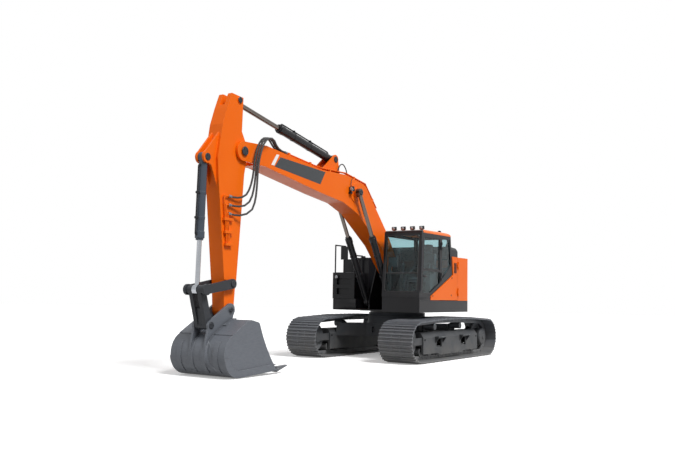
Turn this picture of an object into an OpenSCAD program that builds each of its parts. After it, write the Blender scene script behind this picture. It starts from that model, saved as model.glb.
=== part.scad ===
// Crawler excavator as an assembly of separate pieces
// Millimetres, X forward, Y to the left, Z up, drawn as it parks
// Sizes are measured from the swing axis on the ground and then moved by swing_x

/* [Undercarriage] */
// Swing axis along X, so that the origin lies under the middle of the machine
swing_x = -2330; // [-3500:10:0]
// Distance between the middles of the two tracks
gauge = 2390; // [2200:10:2900]
// Width of a track shoe
shoe_w = 800; // [600:10:900]
// Distance between idler and sprocket centres
tumbler = 3650; // [3000:10:4400]
// Pitch radius of the chain on idler and sprocket
pitch_r = 365; // [340:5:380]
// Shoes on one track
shoe_count = 49; // [45:1:53]
// Rise of the upper run over the carrier rollers
top_rise = 55; // [20:5:80]
// Lower rollers on one track
roller_count = 8; // [6:1:9]

/* [House] */
// Underside of the house
house_z = 1055; // [1030:5:1100]
// Half the width of the house
house_hw = 1355; // [1300:5:1450]
// Tail swing radius
tail_r = 1720; // [1600:10:2100]
// Top of the body behind the cab
body_top = 2340; // [2250:10:2700]
// Top of the dark skirts
skirt_top = 1320; // [1290:5:1360]

/* [Cab] */
// Front of the cab at its floor
cab_front = 1450; // [1400:10:1550]
// Underside of the cab
cab_floor = 1390; // [1370:5:1420]
// Underside of the roof
cab_top = 2790; // [2720:10:2900]
// Inner face of the cab beside the boom
cab_inner = 410; // [405:1:430]
// Outer face of the cab
cab_outer = 1340; // [1300:5:1350]
// Wall thickness of the cab
cab_wall = 45; // [35:1:55]

/* [Boom] */
// Foot pin ahead of the swing axis
foot_x = 460; // [420:5:520]
// Foot pin above the ground
foot_z = 2060; // [2000:5:2120]
// Boom length from foot pin to tip pin
boom_len = 5820; // [4850:10:7000]
// Angle of the boom as parked
boom_angle = 18.4; // [14:0.1:24]
// Half the width of the boom
boom_hw = 205; // [195:1:250]
// Plate thickness of boom and arm
plate_t = 14; // [10:1:20]

/* [Arm] */
// Arm length from tip pin to bucket pin
arm_len = 2790; // [2320:10:3350]
// Lean of the arm outward as parked
arm_tilt = 4.3; // [2:0.1:8]
// Half the width of the arm
arm_hw = 150; // [140:1:157]

/* [Bucket] */
// Width of the bucket
bucket_w = 1200; // [900:10:1450]
// Shell thickness of the bucket
bucket_t = 25; // [16:1:30]
// Number of teeth
tooth_count = 5; // [4:1:6]
// Length of the lever
lever_len = 660; // [650:1:670]
// Length of the link
link_len = 617; // [605:1:630]

/* [Cylinders] */
// Barrel radius of the boom cylinders
boom_cyl_r = 71; // [59:1:86]
// Barrel radius of the arm cylinder
arm_cyl_r = 82; // [68:1:100]
// Barrel radius of the bucket cylinder
bucket_cyl_r = 72; // [60:1:88]
// Gap between a boom cylinder and the side of the boom
boom_cyl_y = 36; // [34:1:60]
// Radius of a hydraulic hose
hose_r = 18; // [12:1:22]
// Running gap of a pin in its bore
pin_gap = 0.4; // [0.2:0.1:0.6]

/* [Hidden] */
$fn = 48;
track_y = gauge / 2;
shoe_tip = 80;
rail_in = 50;
axle_z = shoe_tip + pitch_r;
carrier_r = 75;
carrier_z = 2 * pitch_r + shoe_tip + top_rise - carrier_r - rail_in;
carrier_x = [640, -700];
frame_rear = pitch_r + 10 - tumbler / 2;
frame_front = tumbler / 2 - pitch_r - 60;
foot = [foot_x, foot_z];
boom_tip = foot + boom_len * dir(boom_angle);
arm_dir = arm_tilt - 90;
bucket_pin = boom_tip + arm_len * dir(arm_dir);
cyl_base = [850, 1250];
boom_k = boom_len / 5820;
rod_boss = boom_k * [2223, 884];
arm_boss = boom_k * [3047, 1273];
boom_rod_pin = foot + turn(rod_boss, boom_angle);
arm_cyl_base = foot + turn(arm_boss, boom_angle);
cyl_y = boom_hw + boom_cyl_r + boom_cyl_y;
// The cab steps aside by as much as the boom cylinders stand out further than as drawn
cab_in = cab_inner + max(0, cyl_y + boom_cyl_r - 383);
cab_mid = (cab_in + cab_outer) / 2;
arm_rod_pin = boom_tip + turn([-893, 165], arm_dir);
bucket_cyl_base = boom_tip + turn([277, 790], arm_dir);
lever_pin = boom_tip + turn([arm_len - 444, 32], arm_dir);
link_pin = bucket_pin + [469, -255];
lever_end = meet(lever_pin, lever_len, link_pin, link_len);
heel = [235, -735];
heel_r = 370;
knuckle = 60;
cab_door_axis = [398, cab_outer + 12];
side_door_axis = [-470, house_hw + 17];
hood_axis = [-1094, body_top + 4];
// Depth by which a straight edge runs inside the arc that it joins
weld = 0.4;
lip = [-790, -1045];
back_top = [-60, -160];
tail_round = 170;
tail_lift = tail_r - 300;
// Routes of the free hoses from the boom's pipes to the arm's side, from the boom's tip pin
hose_routes = [
    [[-1245, 80, 180], [-1130, 80, 190], [-1010, 90, 215], [-900, 120, 260], [-800, 155, 300],
    [-700, 190, 330], [-600, 215, 340], [-505, 230, 320], [-425, 245, 275], [-355, 255, 205],
    [-300, 260, 120], [-255, 265, 20], [-220, 270, -90], [-200, 275, -210], [-185, 275, -330],
    [-165, 275, -450], [-140, 265, -570], [-100, 255, -680], [-40, 245, -770], [50, 225, -825],
    [145, 205, -845], [230, 190, -845], [310, 185, -840]],
    [[-1245, 125, 180], [-1125, 125, 190], [-1005, 140, 220], [-895, 170, 265], [-790, 210, 310],
    [-680, 245, 335], [-570, 265, 330], [-470, 285, 290], [-385, 295, 220], [-320, 305, 130],
    [-270, 315, 30], [-235, 320, -80], [-210, 320, -200], [-195, 320, -320], [-185, 320, -440],
    [-170, 320, -560], [-150, 315, -680], [-120, 310, -790], [-70, 295, -895], [15, 260, -970],
    [120, 220, -995], [220, 195, -995], [310, 185, -990]],
    [[-1245, 170, 180], [-1120, 170, 190], [-1000, 185, 220], [-890, 215, 265], [-780, 260, 315],
    [-660, 295, 335], [-545, 320, 315], [-445, 335, 260], [-360, 345, 170], [-300, 355, 65],
    [-255, 360, -45], [-220, 365, -165], [-200, 365, -290], [-190, 365, -415], [-185, 365, -540],
    [-175, 365, -665], [-160, 365, -790], [-135, 360, -910], [-90, 345, -1030], [-5, 295, -1115],
    [100, 230, -1150], [205, 190, -1150], [310, 185, -1140]]];

// Plane geometry
function dir(a) = [cos(a), sin(a)];
function turn(v, a) = [v[0] * cos(a) - v[1] * sin(a), v[0] * sin(a) + v[1] * cos(a)];
function angle_of(v) = atan2(v[1], v[0]);
function meet(p, rp, q, rq) =
    let (d = norm(q - p), a = (rp * rp - rq * rq + d * d) / (2 * d), u = (q - p) / d)
    p + a * u + sqrt(rp * rp - a * a) * [-u[1], u[0]];
function bow(a, b, c, n) =
    [for (k = [0:n]) let (t = k / n) (1 - t) * (1 - t) * a + 2 * t * (1 - t) * b + t * t * c];
function touch(p, c, r, side) =
    let (a = angle_of(p - c) + side * acos(r / norm(p - c))) c + (r - weld) * dir(a);

// Track path round sprocket, idler and carrier rollers, counter-clockwise
wheels = [[-tumbler / 2, axle_z, pitch_r], [tumbler / 2, axle_z, pitch_r],
    [carrier_x[0], carrier_z, carrier_r + rail_in], [carrier_x[1], carrier_z, carrier_r + rail_in]];
function mid(i) = [wheels[i % 4][0], wheels[i % 4][1]];
function span(i) = norm(mid(i + 1) - mid(i));
function drop(i) = wheels[i % 4][2] - wheels[(i + 1) % 4][2];
function out_raw(i) = angle_of(mid(i + 1) - mid(i)) - acos(drop(i) / span(i));
function wrap(a, low) = a < low ? wrap(a + 360, low) : a;
out0 = out_raw(0);
out1 = wrap(out_raw(1), out0);
out2 = wrap(out_raw(2), out1);
out3 = wrap(out_raw(3), out2);
outs = [out0, out1, out2, out3, out0 + 360];
function line_len(i) = sqrt(span(i) * span(i) - drop(i) * drop(i));
function arc_len(i) = wheels[(i + 1) % 4][2] * (outs[i + 1] - outs[i]) * PI / 180;
track_len = line_len(0) + arc_len(0) + line_len(1) + arc_len(1)
    + line_len(2) + arc_len(2) + line_len(3) + arc_len(3);
pitch = track_len / shoe_count;
function along(s, i) =
    s <= line_len(i) ? mid(i) + wheels[i % 4][2] * dir(outs[i]) + s * dir(outs[i] + 90)
    : s <= line_len(i) + arc_len(i)
    ? mid(i + 1) + wheels[(i + 1) % 4][2]
        * dir(outs[i] + (s - line_len(i)) / wheels[(i + 1) % 4][2] * 180 / PI)
    : along(s - line_len(i) - arc_len(i), i + 1);
pins = [for (k = [0:shoe_count - 1]) along((k + 0.5) * pitch, 0)];
function pin_at(k) = pins[(k + shoe_count) % shoe_count];
function chord_out(k) = angle_of(pin_at(k + 1) - pin_at(k)) - 90;
function on_shoe(k, t, n) =
    (pin_at(k) + pin_at(k + 1)) / 2 + t * dir(chord_out(k) + 90) + n * dir(chord_out(k));
function half(k) = norm(pin_at(k + 1) - pin_at(k)) / 2;
shoe_form = [[-1, 2, 46], [-1, 5, 54], [-1, 16, 80], [-1, 30, 80], [-1, 42, 54],
    [0, -16, 54], [0, -8, 76], [0, 8, 76], [0, 16, 54],
    [1, -42, 54], [1, -30, 76], [1, -18, 76], [1, -8, 54], [1, -2, 46]];
shoe_outer = [for (k = [0:shoe_count - 1], f = shoe_form) on_shoe(k, f[0] * half(k) + f[1], f[2])];
shoe_inner = [for (k = [0:shoe_count - 1], e = [-1, 1]) on_shoe(k, e * (half(k) - 2), 40)];
function mitre(k, n) =
    let (a = chord_out(k - 1), b = wrap(chord_out(k), a - 180))
    pin_at(k) + n / cos((b - a) / 2) * dir((a + b) / 2);
rail_inner = [for (k = [0:shoe_count - 1]) mitre(k, -rail_in)];
idler_r = sqrt(pitch_r * pitch_r - pitch * pitch / 4) - rail_in - 0.5;

// Shared forms
module at_swing() {
    translate([swing_x, 0, 0]) children();
}
module flat(y0, y1) {
    translate([0, y1, 0]) rotate([90, 0, 0]) linear_extrude(height = y1 - y0) children();
}
module pin(p, r, y0, y1) {
    translate([p[0], y1, p[1]]) rotate([90, 0, 0]) cylinder(r = r, h = y1 - y0);
}
module box(a, b) {
    translate(a) cube(b - a);
}
module both() {
    children();
    mirror([0, 1, 0]) children();
}
module limb(p, rp, q, rq) {
    a = angle_of(q - p);
    t = acos((rp - rq) / norm(q - p));
    polygon([p + (rp - weld) * dir(a - t), q + (rq - weld) * dir(a - t),
        q + (rq - weld) * dir(a + t), p + (rp - weld) * dir(a + t)]);
    translate(p) circle(r = rp);
    translate(q) circle(r = rq);
}
module chain(stations, less) {
    for (i = [0:len(stations) - 2])
        limb([stations[i][0], stations[i][1]], stations[i][2] - less,
            [stations[i + 1][0], stations[i + 1][1]], stations[i + 1][2] - less);
}
module aim(p, q, y) {
    translate([p[0], y, p[1]]) rotate([0, 90 - angle_of(q - p), 0]) children();
}
module barrel(p, q, y, r, rod, share, eye, width, bore) {
    length = share * norm(q - p);
    aim(p, q, y) difference() {
        union() {
            rotate_extrude() polygon([[0, 0], [r, 0], [r, length - 150], [r + 9, length - 146],
                [r + 9, length - 40], [r + 4, length - 34], [r - 8, length - 34], [r - 8, length],
                [0, length]]);
            rotate([90, 0, 0]) cylinder(r = eye, h = width, center = true);
            for (z = [0.42, 0.72]) translate([0, 0, z * length]) cylinder(r = r + 5, h = 44);
        }
        translate([0, 0, -r - 20]) difference() {
            translate([-200, -200, 0]) cube([400, 400, eye + r + 40]);
            translate([-200, -width / 2, 0]) cube([400, width, eye + r + 40]);
        }
        rotate([90, 0, 0]) cylinder(r = bore, h = width + 2, center = true);
        translate([0, 0, eye + 60]) cylinder(r = rod + 0.4, h = length);
    }
}
module rod(p, q, y, r, share, eye, width) {
    length = share * norm(q - p);
    aim(q, p, y) {
        cylinder(r = r, h = length);
        rotate([90, 0, 0]) cylinder(r = eye, h = width, center = true);
    }
}

// Hinge about Z: knuckles of the moving leaf or of the fixed leaf, which runs to -X
module leaf_z(p, face, z, fixed) {
    for (k = fixed ? [-1, 1] : [0])
        translate([p[0], p[1], z + k * (knuckle + 0.3) - knuckle / 2]) {
            cylinder(r = 12, h = knuckle);
            if (fixed) translate([-45, face - 1 - p[1], 0]) cube([45, p[1] - face + 7, knuckle]);
            else {
                translate([0, face + 5 - p[1], 0]) cube([45, p[1] - face + 1, knuckle]);
                translate([14, face - 1 - p[1], 0]) cube([31, p[1] - face + 7, knuckle]);
            }
        }
}
// Hinge about Y at the rear edge of the hood
module leaf_y(y, z0, fixed) {
    for (k = fixed ? [-1, 1] : [0])
        translate([hood_axis[0], y + k * (knuckle + 0.3) - knuckle / 2, hood_axis[1]]) {
            rotate([-90, 0, 0]) cylinder(r = 12, h = knuckle);
            translate([fixed ? -45 : 0, 0, z0 - 1 - hood_axis[1]])
                cube([45, knuckle, hood_axis[1] - z0 + 7]);
        }
}

// Undercarriage
module car_body() {
    color([0.25, 0.26, 0.28]) at_swing() difference() {
        union() {
            translate([0, 0, 470]) linear_extrude(height = 290) polygon([
                [-1150, track_y - 230], [-620, track_y - 230], [-280, 640], [280, 640],
                [620, track_y - 230], [1150, track_y - 230], [680, 430], [680, -430],
                [1150, 230 - track_y], [620, 230 - track_y], [280, -640], [-280, -640],
                [-620, 230 - track_y], [-1150, 230 - track_y], [-680, -430], [-680, 430]]);
            translate([0, 0, 740]) cylinder(r = 690, h = 190);
            for (y = [-260, 260]) box([-760, y - 20, 560], [760, y + 20, 690]);
        }
        translate([0, 0, 400]) cylinder(r = 300, h = 600);
        for (x = [-720, 720], y = [-260, 260])
            translate([x, y + 21, 625]) rotate([90, 0, 0]) cylinder(r = 25, h = 42);
    }
}
module track_frame() {
    difference() {
        union() {
            translate([frame_rear, 0, 0]) rotate([90, 0, 90]) linear_extrude(height = frame_front - frame_rear) polygon([
                [-230, 170], [-175, 170], [-175, 330], [175, 330], [175, 170], [230, 170],
                [230, 520], [150, 630], [-150, 630], [-230, 520]]);
            for (y = [-190, 165])
                flat(y, y + 25) {
                    translate([frame_front - 100, axle_z - 75]) square([tumbler / 2 - frame_front + 100, 150]);
                    translate([tumbler / 2, axle_z]) circle(r = 110);
                }
            flat(-205, -175) {
                translate([-tumbler / 2, axle_z]) circle(r = 235);
                translate([-tumbler / 2, axle_z - 150]) square([500, 300]);
            }
            for (x = [-860, 420]) {
                box([x, 225, 512], [x + 440, 330, 536]);
                for (u = [x + 20, x + 400]) translate([u, 0, 0]) rotate([90, 0, 90])
                    linear_extrude(height = 20) polygon([[225, 380], [225, 520], [322, 520]]);
            }
            both() flat(205, 228) difference() {
                polygon([[-620, 132], [620, 132], [700, 180], [-700, 180]]);
                for (x = [-400, 0, 400]) translate([x, 150]) circle(r = 12);
            }
            for (x = carrier_x) flat(-165, -135) {
                translate([x, carrier_z]) circle(r = 45);
                translate([x - 60, 600]) square([120, carrier_z - 600]);
            }
        }
        translate([frame_rear + 230, 0, 0]) rotate([90, 0, 90])
            linear_extrude(height = frame_front - frame_rear - 460) polygon([[-176, 300],
                [176, 300], [196, 340], [196, 506], [134, 596], [-134, 596], [-196, 506], [-196, 340]]);
        for (x = [-780, 500]) flat(190, 240) polygon([[x, 300], [x + 280, 300], [x + 250, 480],
            [x + 30, 480]]);
        for (x = [frame_rear + 70, frame_front - 70]) translate([x, 0, 470]) rotate([90, 0, 0])
            cylinder(r = 30, h = 600, center = true);
    }
}
module track_frame_left() {
    color([0.27, 0.28, 0.3]) at_swing() translate([0, track_y, 0]) track_frame();
}
module track_frame_right() {
    color([0.27, 0.28, 0.3]) at_swing() translate([0, -track_y, 0]) mirror([0, 1, 0]) track_frame();
}
module track() {
    flat(-shoe_w / 2, shoe_w / 2) difference() {
        polygon(shoe_outer);
        polygon(shoe_inner);
    }
    for (y = [-115, 75]) flat(y, y + 40) difference() {
        polygon([for (k = [0:shoe_count - 1]) mitre(k, 43)]);
        polygon(rail_inner);
    }
}
module track_left() {
    color([0.32, 0.33, 0.35]) at_swing() translate([0, track_y, 0]) track();
}
module track_right() {
    color([0.32, 0.33, 0.35]) at_swing() translate([0, -track_y, 0]) track();
}
module front_idlers() {
    color([0.3, 0.3, 0.32]) at_swing() both() translate([tumbler / 2, track_y, axle_z])
        rotate([90, 0, 0]) rotate_extrude() polygon([[0, -165], [55, -165], [55, -118],
            [idler_r - 90, -118], [idler_r - 60, -116], [idler_r, -116], [idler_r, -70],
            [idler_r + 22, -66], [idler_r + 22, 66], [idler_r, 70], [idler_r, 116],
            [idler_r - 60, 116], [idler_r - 90, 118], [55, 118], [55, 165], [0, 165]]);
}
module drive_sprockets() {
    teeth = 23;
    color([0.3, 0.3, 0.32]) at_swing() both() translate([-tumbler / 2, track_y, axle_z])
        rotate([90, 0, 0]) translate([0, 0, -32]) linear_extrude(height = 64) difference() {
            union() {
                circle(r = pitch_r - 50);
                for (k = [0:teeth - 1]) rotate(k * 360 / teeth)
                    polygon([[pitch_r - 60, -34], [pitch_r - 8, -14], [pitch_r - 8, 14],
                        [pitch_r - 60, 34]]);
            }
            circle(r = 200.3);
        }
}
module travel_motors() {
    color([0.24, 0.25, 0.27]) at_swing() both() translate([-tumbler / 2, track_y, axle_z])
        rotate([90, 0, 0]) rotate_extrude() polygon([[0, 175], [200, 175], [200, 40],
            [238, 34], [238, 33], [200, 33], [200, -190], [180, -215], [90, -225], [0, -225]]);
}
module track_rollers() {
    gap = (frame_front - frame_rear - 160) / (roller_count - 1);
    color([0.28, 0.28, 0.3]) at_swing() both() for (k = [0:roller_count - 1])
        translate([frame_rear + 80 + k * gap, track_y, shoe_tip + rail_in + 85.4]) rotate([90, 0, 0])
            rotate_extrude() polygon([[0, -175], [38, -175], [38, -135], [103, -135],
                [103, -117], [85, -117], [85, 117], [103, 117], [103, 135], [38, 135],
                [38, 175], [0, 175]]);
}
module carrier_rollers() {
    color([0.28, 0.28, 0.3]) at_swing() both() for (x = carrier_x)
        translate([x, track_y, carrier_z]) rotate([90, 0, 0]) rotate_extrude() polygon([
            [0, -125], [carrier_r - 1, -125], [carrier_r - 1, 118], [30, 118], [30, 135], [0, 135]]);
}
module swing_ring() {
    color([0.35, 0.36, 0.38]) at_swing() translate([0, 0, 930]) difference() {
        cylinder(r = 665, h = house_z - 975);
        translate([0, 0, -1]) cylinder(r = 545, h = 200);
    }
}

// House
module foot_plate() {
    limb(cyl_base, 92, foot, 150);
    polygon([[-500, house_z + 20], [930, house_z + 20], [930, 1260], [foot_x + 60, foot_z],
        [foot_x - 120, foot_z + 88], [-250, 1560], [-500, 1500]]);
}
module main_frame() {
    color([0.22, 0.23, 0.25]) at_swing() {
        translate([0, 0, house_z]) linear_extrude(height = 30) polygon([
            [-1055, 65 - house_hw], [740, 65 - house_hw], [740, -560], [1000, -420],
            [1000, cab_in], [cab_front - 30, cab_in], [cab_front - 30, house_hw - 65],
            [-1055, house_hw - 65]]);
        translate([0, 0, house_z - 44.5]) cylinder(r = 640, h = 50);
        both() flat(boom_hw + 5, boom_hw + 30) foot_plate();
        pin(foot, 60, -boom_hw - 55, boom_hw + 55);
        both() pin(cyl_base, 45, boom_hw + 10, cyl_y + 62);
        for (x = [60, cab_front - 150], y = [cab_in + 20, cab_outer - 130])
            box([x, y, house_z + 20], [x + 100, y + 80, cab_floor]);
        box([-500, -boom_hw - 6, house_z + 20], [-470, boom_hw + 6, 1480]);
    }
}
module tail_plan(front) {
    c = [-sqrt((tail_r - tail_round) * (tail_r - tail_round)
        - (house_hw - tail_round) * (house_hw - tail_round)), house_hw - tail_round];
    t = (tail_r - weld) / norm(c) * c;
    intersection() {
        union() {
            intersection() {
                circle(r = tail_r, $fn = 120);
                polygon([[0, house_hw], [c[0], house_hw - weld], t, [-tail_r - 9, t[1]],
                    [-tail_r - 9, -t[1]], [t[0], -t[1]], [c[0], weld - house_hw], [0, -house_hw]]);
            }
            for (s = [-1, 1]) translate([c[0], s * c[1]]) circle(r = tail_round);
        }
        translate([-tail_r - 1, -house_hw]) square([tail_r + 1 + front, 2 * house_hw]);
    }
}
// Side view of the tail, its top falling to the rear and its underside cut away
module tail_side() {
    polygon([[0, house_z], [-1300, house_z], [90 - tail_r, house_z + 70], [-tail_r - 1, house_z + 190],
        [-tail_r - 1, body_top - 150], [70 - tail_r, body_top - 60], [-1330, body_top - 10],
        [0, body_top - 10]]);
}
module counterweight() {
    color([0.93, 0.42, 0.1]) at_swing() difference() {
        intersection() {
            union() {
                translate([0, 0, house_z]) linear_extrude(height = body_top - house_z - 10)
                    tail_plan(-1062);
                translate([0, 0, skirt_top]) linear_extrude(height = body_top - skirt_top - 10)
                    tail_plan(-470);
            }
            flat(-house_hw - 1, house_hw + 1) tail_side();
        }
        for (y = [-420, 140]) box([-tail_r - 10, y, 1560], [60 - tail_r, y + 280, 1660]);
        difference() {
            translate([0, 0, skirt_top - 9]) cylinder(r = tail_r + 40, h = 18);
            translate([0, 0, skirt_top - 10]) linear_extrude(height = 20) circle(r = tail_r - 14, $fn = 120);
            box([-1100, -2000, 0], [2000, 2000, 3000]);
        }
        box([-1090, -house_hw + 75, house_z - 1], [0, house_hw - 75, body_top + 1]);
        for (y = [-620, 620]) translate([-tail_lift, y, body_top - 190]) cylinder(r = 40, h = 300);
    }
    color([0.93, 0.42, 0.1]) at_swing() {
        both() for (z = [skirt_top + 200, body_top - 200]) leaf_z(side_door_axis, house_hw, z, true);
        for (y = [-700, 700]) leaf_y(y, body_top - 10, true);
    }
}
module side_skirts() {
    color([0.12, 0.12, 0.13]) at_swing() {
        box([-1056, house_hw - 65, house_z], [cab_front - 30, house_hw - 12, skirt_top]);
        box([-1056, 12 - house_hw, house_z], [742, 65 - house_hw, skirt_top]);
        box([cab_front - 30, cab_in + 10, house_z], [cab_front - 4, house_hw - 12, cab_floor - 1]);
    }
}
module cab_side(less) {
    polygon([[cab_front - less, cab_floor + less], [less - 200, cab_floor + less],
        [less - 200, 1915], [less - 105, cab_top + (less > 0 ? 1 : 0)],
        [cab_front - 105 - less, cab_top + (less > 0 ? 1 : 0)]]);
}
module door_hole(less) {
    polygon([[cab_front - 78 - less, cab_floor + 40 + less], [930 + less, cab_floor + 40 + less],
        [400 + less, cab_floor + 275 + less], [400 + less, cab_top - 45 - less],
        [cab_front - 177 - less, cab_top - 45 - less]]);
}
module quarter_hole(less) {
    polygon([[340 - less, 1800 + less], [340 - less, cab_top - 80 - less],
        [less - 50, cab_top - 80 - less], [less - 115, 2130 + less]]);
}
module right_hole(less) {
    polygon([[1320 - less, 1900 + less], [1270 - less, cab_top - 70 - less],
        [less - 40, cab_top - 70 - less], [less - 90, 2100 + less], [300 + less, 1900 + less]]);
}
module slant(y0, y1, z0, z1, x0, x1) {
    lean = 105 / (cab_top - cab_floor);
    flat(y0, y1) polygon([[cab_front - (z0 - cab_floor) * lean - x1, z0],
        [cab_front - (z0 - cab_floor) * lean - x0, z0],
        [cab_front - (z1 - cab_floor) * lean - x0, z1],
        [cab_front - (z1 - cab_floor) * lean - x1, z1]]);
}
module rear_slant(y0, y1, z0, z1, x0, x1) {
    lean = 95 / (cab_top - 1915);
    flat(y0, y1) polygon([[(z0 - 1915) * lean - 200 + x0, z0], [(z0 - 1915) * lean - 200 + x1, z0],
        [(z1 - 1915) * lean - 200 + x1, z1], [(z1 - 1915) * lean - 200 + x0, z1]]);
}
module cab_shell() {
    color([0.1, 0.1, 0.11]) at_swing() difference() {
        flat(cab_in, cab_outer) cab_side(0);
        flat(cab_in + cab_wall, cab_outer - cab_wall) cab_side(cab_wall);
        flat(cab_outer - 33, cab_outer + 1) polygon([[950, cab_floor - 1], [-201, cab_floor - 1],
            [-201, 1915], [-150, 1885], [900, 1425]]);
        flat(cab_outer - cab_wall - 1, cab_outer + 1) door_hole(0);
        flat(cab_outer - cab_wall - 1, cab_outer + 1) quarter_hole(0);
        flat(cab_in - 1, cab_in + cab_wall + 1) right_hole(0);
        slant(cab_in + 55, cab_outer - 55, cab_floor + 110, cab_top - 50, -1, cab_wall + 12);
        rear_slant(cab_in + 90, cab_outer - 90, 2080, cab_top - 60, -1, cab_wall + 12);
    }
    color([0.1, 0.1, 0.11]) at_swing()
        for (z = [1850, cab_top - 250]) leaf_z(cab_door_axis, cab_outer, z, true);
}
module cab_roof() {
    mid = cab_mid;
    half_w = (cab_outer - cab_in) / 2;
    color([0.93, 0.42, 0.1]) at_swing() difference() {
        intersection() {
            flat(cab_in, cab_outer) polygon([[-105, cab_top], [cab_front - 105, cab_top],
                [cab_front - 112, cab_top + 34], [cab_front - 150, cab_top + 56],
                [cab_front - 240, cab_top + 68], [240, cab_top + 84], [0, cab_top + 80],
                [-70, cab_top + 62], [-100, cab_top + 30]]);
            translate([-120, mid, cab_top]) rotate([90, 0, 90]) linear_extrude(height = cab_front + 120)
                polygon([[-half_w, -1], [half_w, -1], [half_w, 30], [half_w - 22, 60], [half_w - 90, 90],
                    [90 - half_w, 90], [22 - half_w, 60], [-half_w, 30]]);
        }
        box([330, mid - 290, cab_top + 66], [860, mid + 290, cab_top + 100]);
    }
}
module cab_glass() {
    color([0.35, 0.42, 0.48, 0.5]) at_swing() {
        slant(cab_in + 55.3, cab_outer - 55.3, cab_floor + 110.3, cab_top - 50.3, 12, 20);
        rear_slant(cab_in + 90.3, cab_outer - 90.3, 2080.3, cab_top - 60.3, 12, 20);
        flat(cab_outer - 28, cab_outer - 20) quarter_hole(0.3);
        flat(cab_in + 15, cab_in + 23) right_hole(0.3);
    }
}
module operator_seat() {
    color([0.15, 0.15, 0.16]) at_swing() translate([0, cab_mid - 875, 0]) {
        z = cab_floor + cab_wall;
        box([250, 680, z], [700, 1080, z + 280]);
        box([170, 640, z + 260], [720, 1120, z + 400]);
        flat(650, 1110) polygon([[170, z + 390], [300, z + 390], [230, z + 980], [110, z + 980]]);
        flat(740, 1020) polygon([[112, z + 970], [215, z + 970], [200, z + 1180], [110, z + 1180]]);
    }
}
module cab_controls() {
    color([0.16, 0.16, 0.17]) at_swing() {
        z = cab_floor + cab_wall;
        for (y = [cab_in + 90, cab_outer - 190]) {
            box([120, y, z], [800, y + 110, z + 480]);
            translate([740, y + 55, z + 470]) cylinder(r = 22, h = 220);
            translate([740, y + 55, z + 690]) sphere(r = 38);
        }
        for (y = [cab_mid - 75, cab_mid + 25]) {
            box([1130, y, z], [1250, y + 60, z + 30]);
            translate([1190, y + 30, z + 20]) cylinder(r = 12, h = 420);
        }
        box([1230, cab_in + 60, z], [1300, cab_in + 120, z + 640]);
        box([1225, cab_in + 60, z + 620], [1265, cab_in + 280, z + 830]);
    }
}
module cab_door() {
    color([0.1, 0.1, 0.11]) at_swing() difference() {
        flat(cab_outer - cab_wall, cab_outer) door_hole(6);
        flat(cab_outer - cab_wall - 1, cab_outer + 1) door_upper(0);
        flat(cab_outer - cab_wall - 1, cab_outer + 1) door_lower(0);
    }
    color([0.1, 0.1, 0.11]) at_swing()
        for (z = [1850, cab_top - 250]) leaf_z(cab_door_axis, cab_outer, z, false);
}
module door_upper(less) {
    polygon([[cab_front - 188 - less, 2005 + less], [458 + less, 2005 + less],
        [458 + less, cab_top - 100 - less], [cab_front - 236 - less, cab_top - 100 - less]]);
}
module door_lower(less) {
    polygon([[cab_front - 140 - less, cab_floor + 100 + less], [944 + less, cab_floor + 100 + less],
        [458 + less, cab_floor + 315 + less], [458 + less, 1955 - less],
        [cab_front - 182 - less, 1955 - less]]);
}
module cab_door_glass() {
    color([0.35, 0.42, 0.48, 0.5]) at_swing() {
        flat(cab_outer - 28, cab_outer - 20) door_upper(0.3);
        flat(cab_outer - 28, cab_outer - 20) door_lower(0.3);
    }
}
module tool_box() {
    color([0.14, 0.14, 0.15]) at_swing() difference() {
        box([300, -house_hw, skirt_top], [750, -740, 1940]);
        for (z = [1420, 1650]) box([690, -1240, z], [751, -860, z + 150]);
    }
}
module tank() {
    color([0.93, 0.42, 0.1]) at_swing() {
        box([-98, -house_hw, skirt_top], [299, -620, body_top - 60]);
        translate([100, -900, body_top - 70]) cylinder(r = 70, h = 60);
    }
}
module engine_block() {
    color([0.3, 0.3, 0.31]) at_swing() {
        translate([0, 620, 0]) rotate([90, 0, 0]) linear_extrude(height = 1000) polygon([
            [-960, house_z + 30], [-640, house_z + 30], [-620, 1290], [-575, 1330], [-575, 1560],
            [-650, 1600], [-650, 1760], [-940, 1760], [-940, 1600], [-1020, 1560], [-1020, 1330],
            [-985, 1290]]);
        pin([-800, 1420], 190, -460, -379);
        box([-1040, -900, house_z + 30], [-560, -780, 2100]);
        pin([-800, 1420], 45, -781, -459);
    }
}
module rear_deck() {
    color([0.14, 0.14, 0.15]) at_swing() {
        box([-466, -610, body_top - 30], [-215, house_hw - 60, body_top - 2]);
        difference() {
            box([-240, -610, house_z + 30], [-215, cab_in - 10, body_top - 20]);
            for (y = [-boom_hw - 32, boom_hw + 3]) box([-241, y, house_z], [-214, y + 29, 1625]);
        }
    }
}
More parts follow.
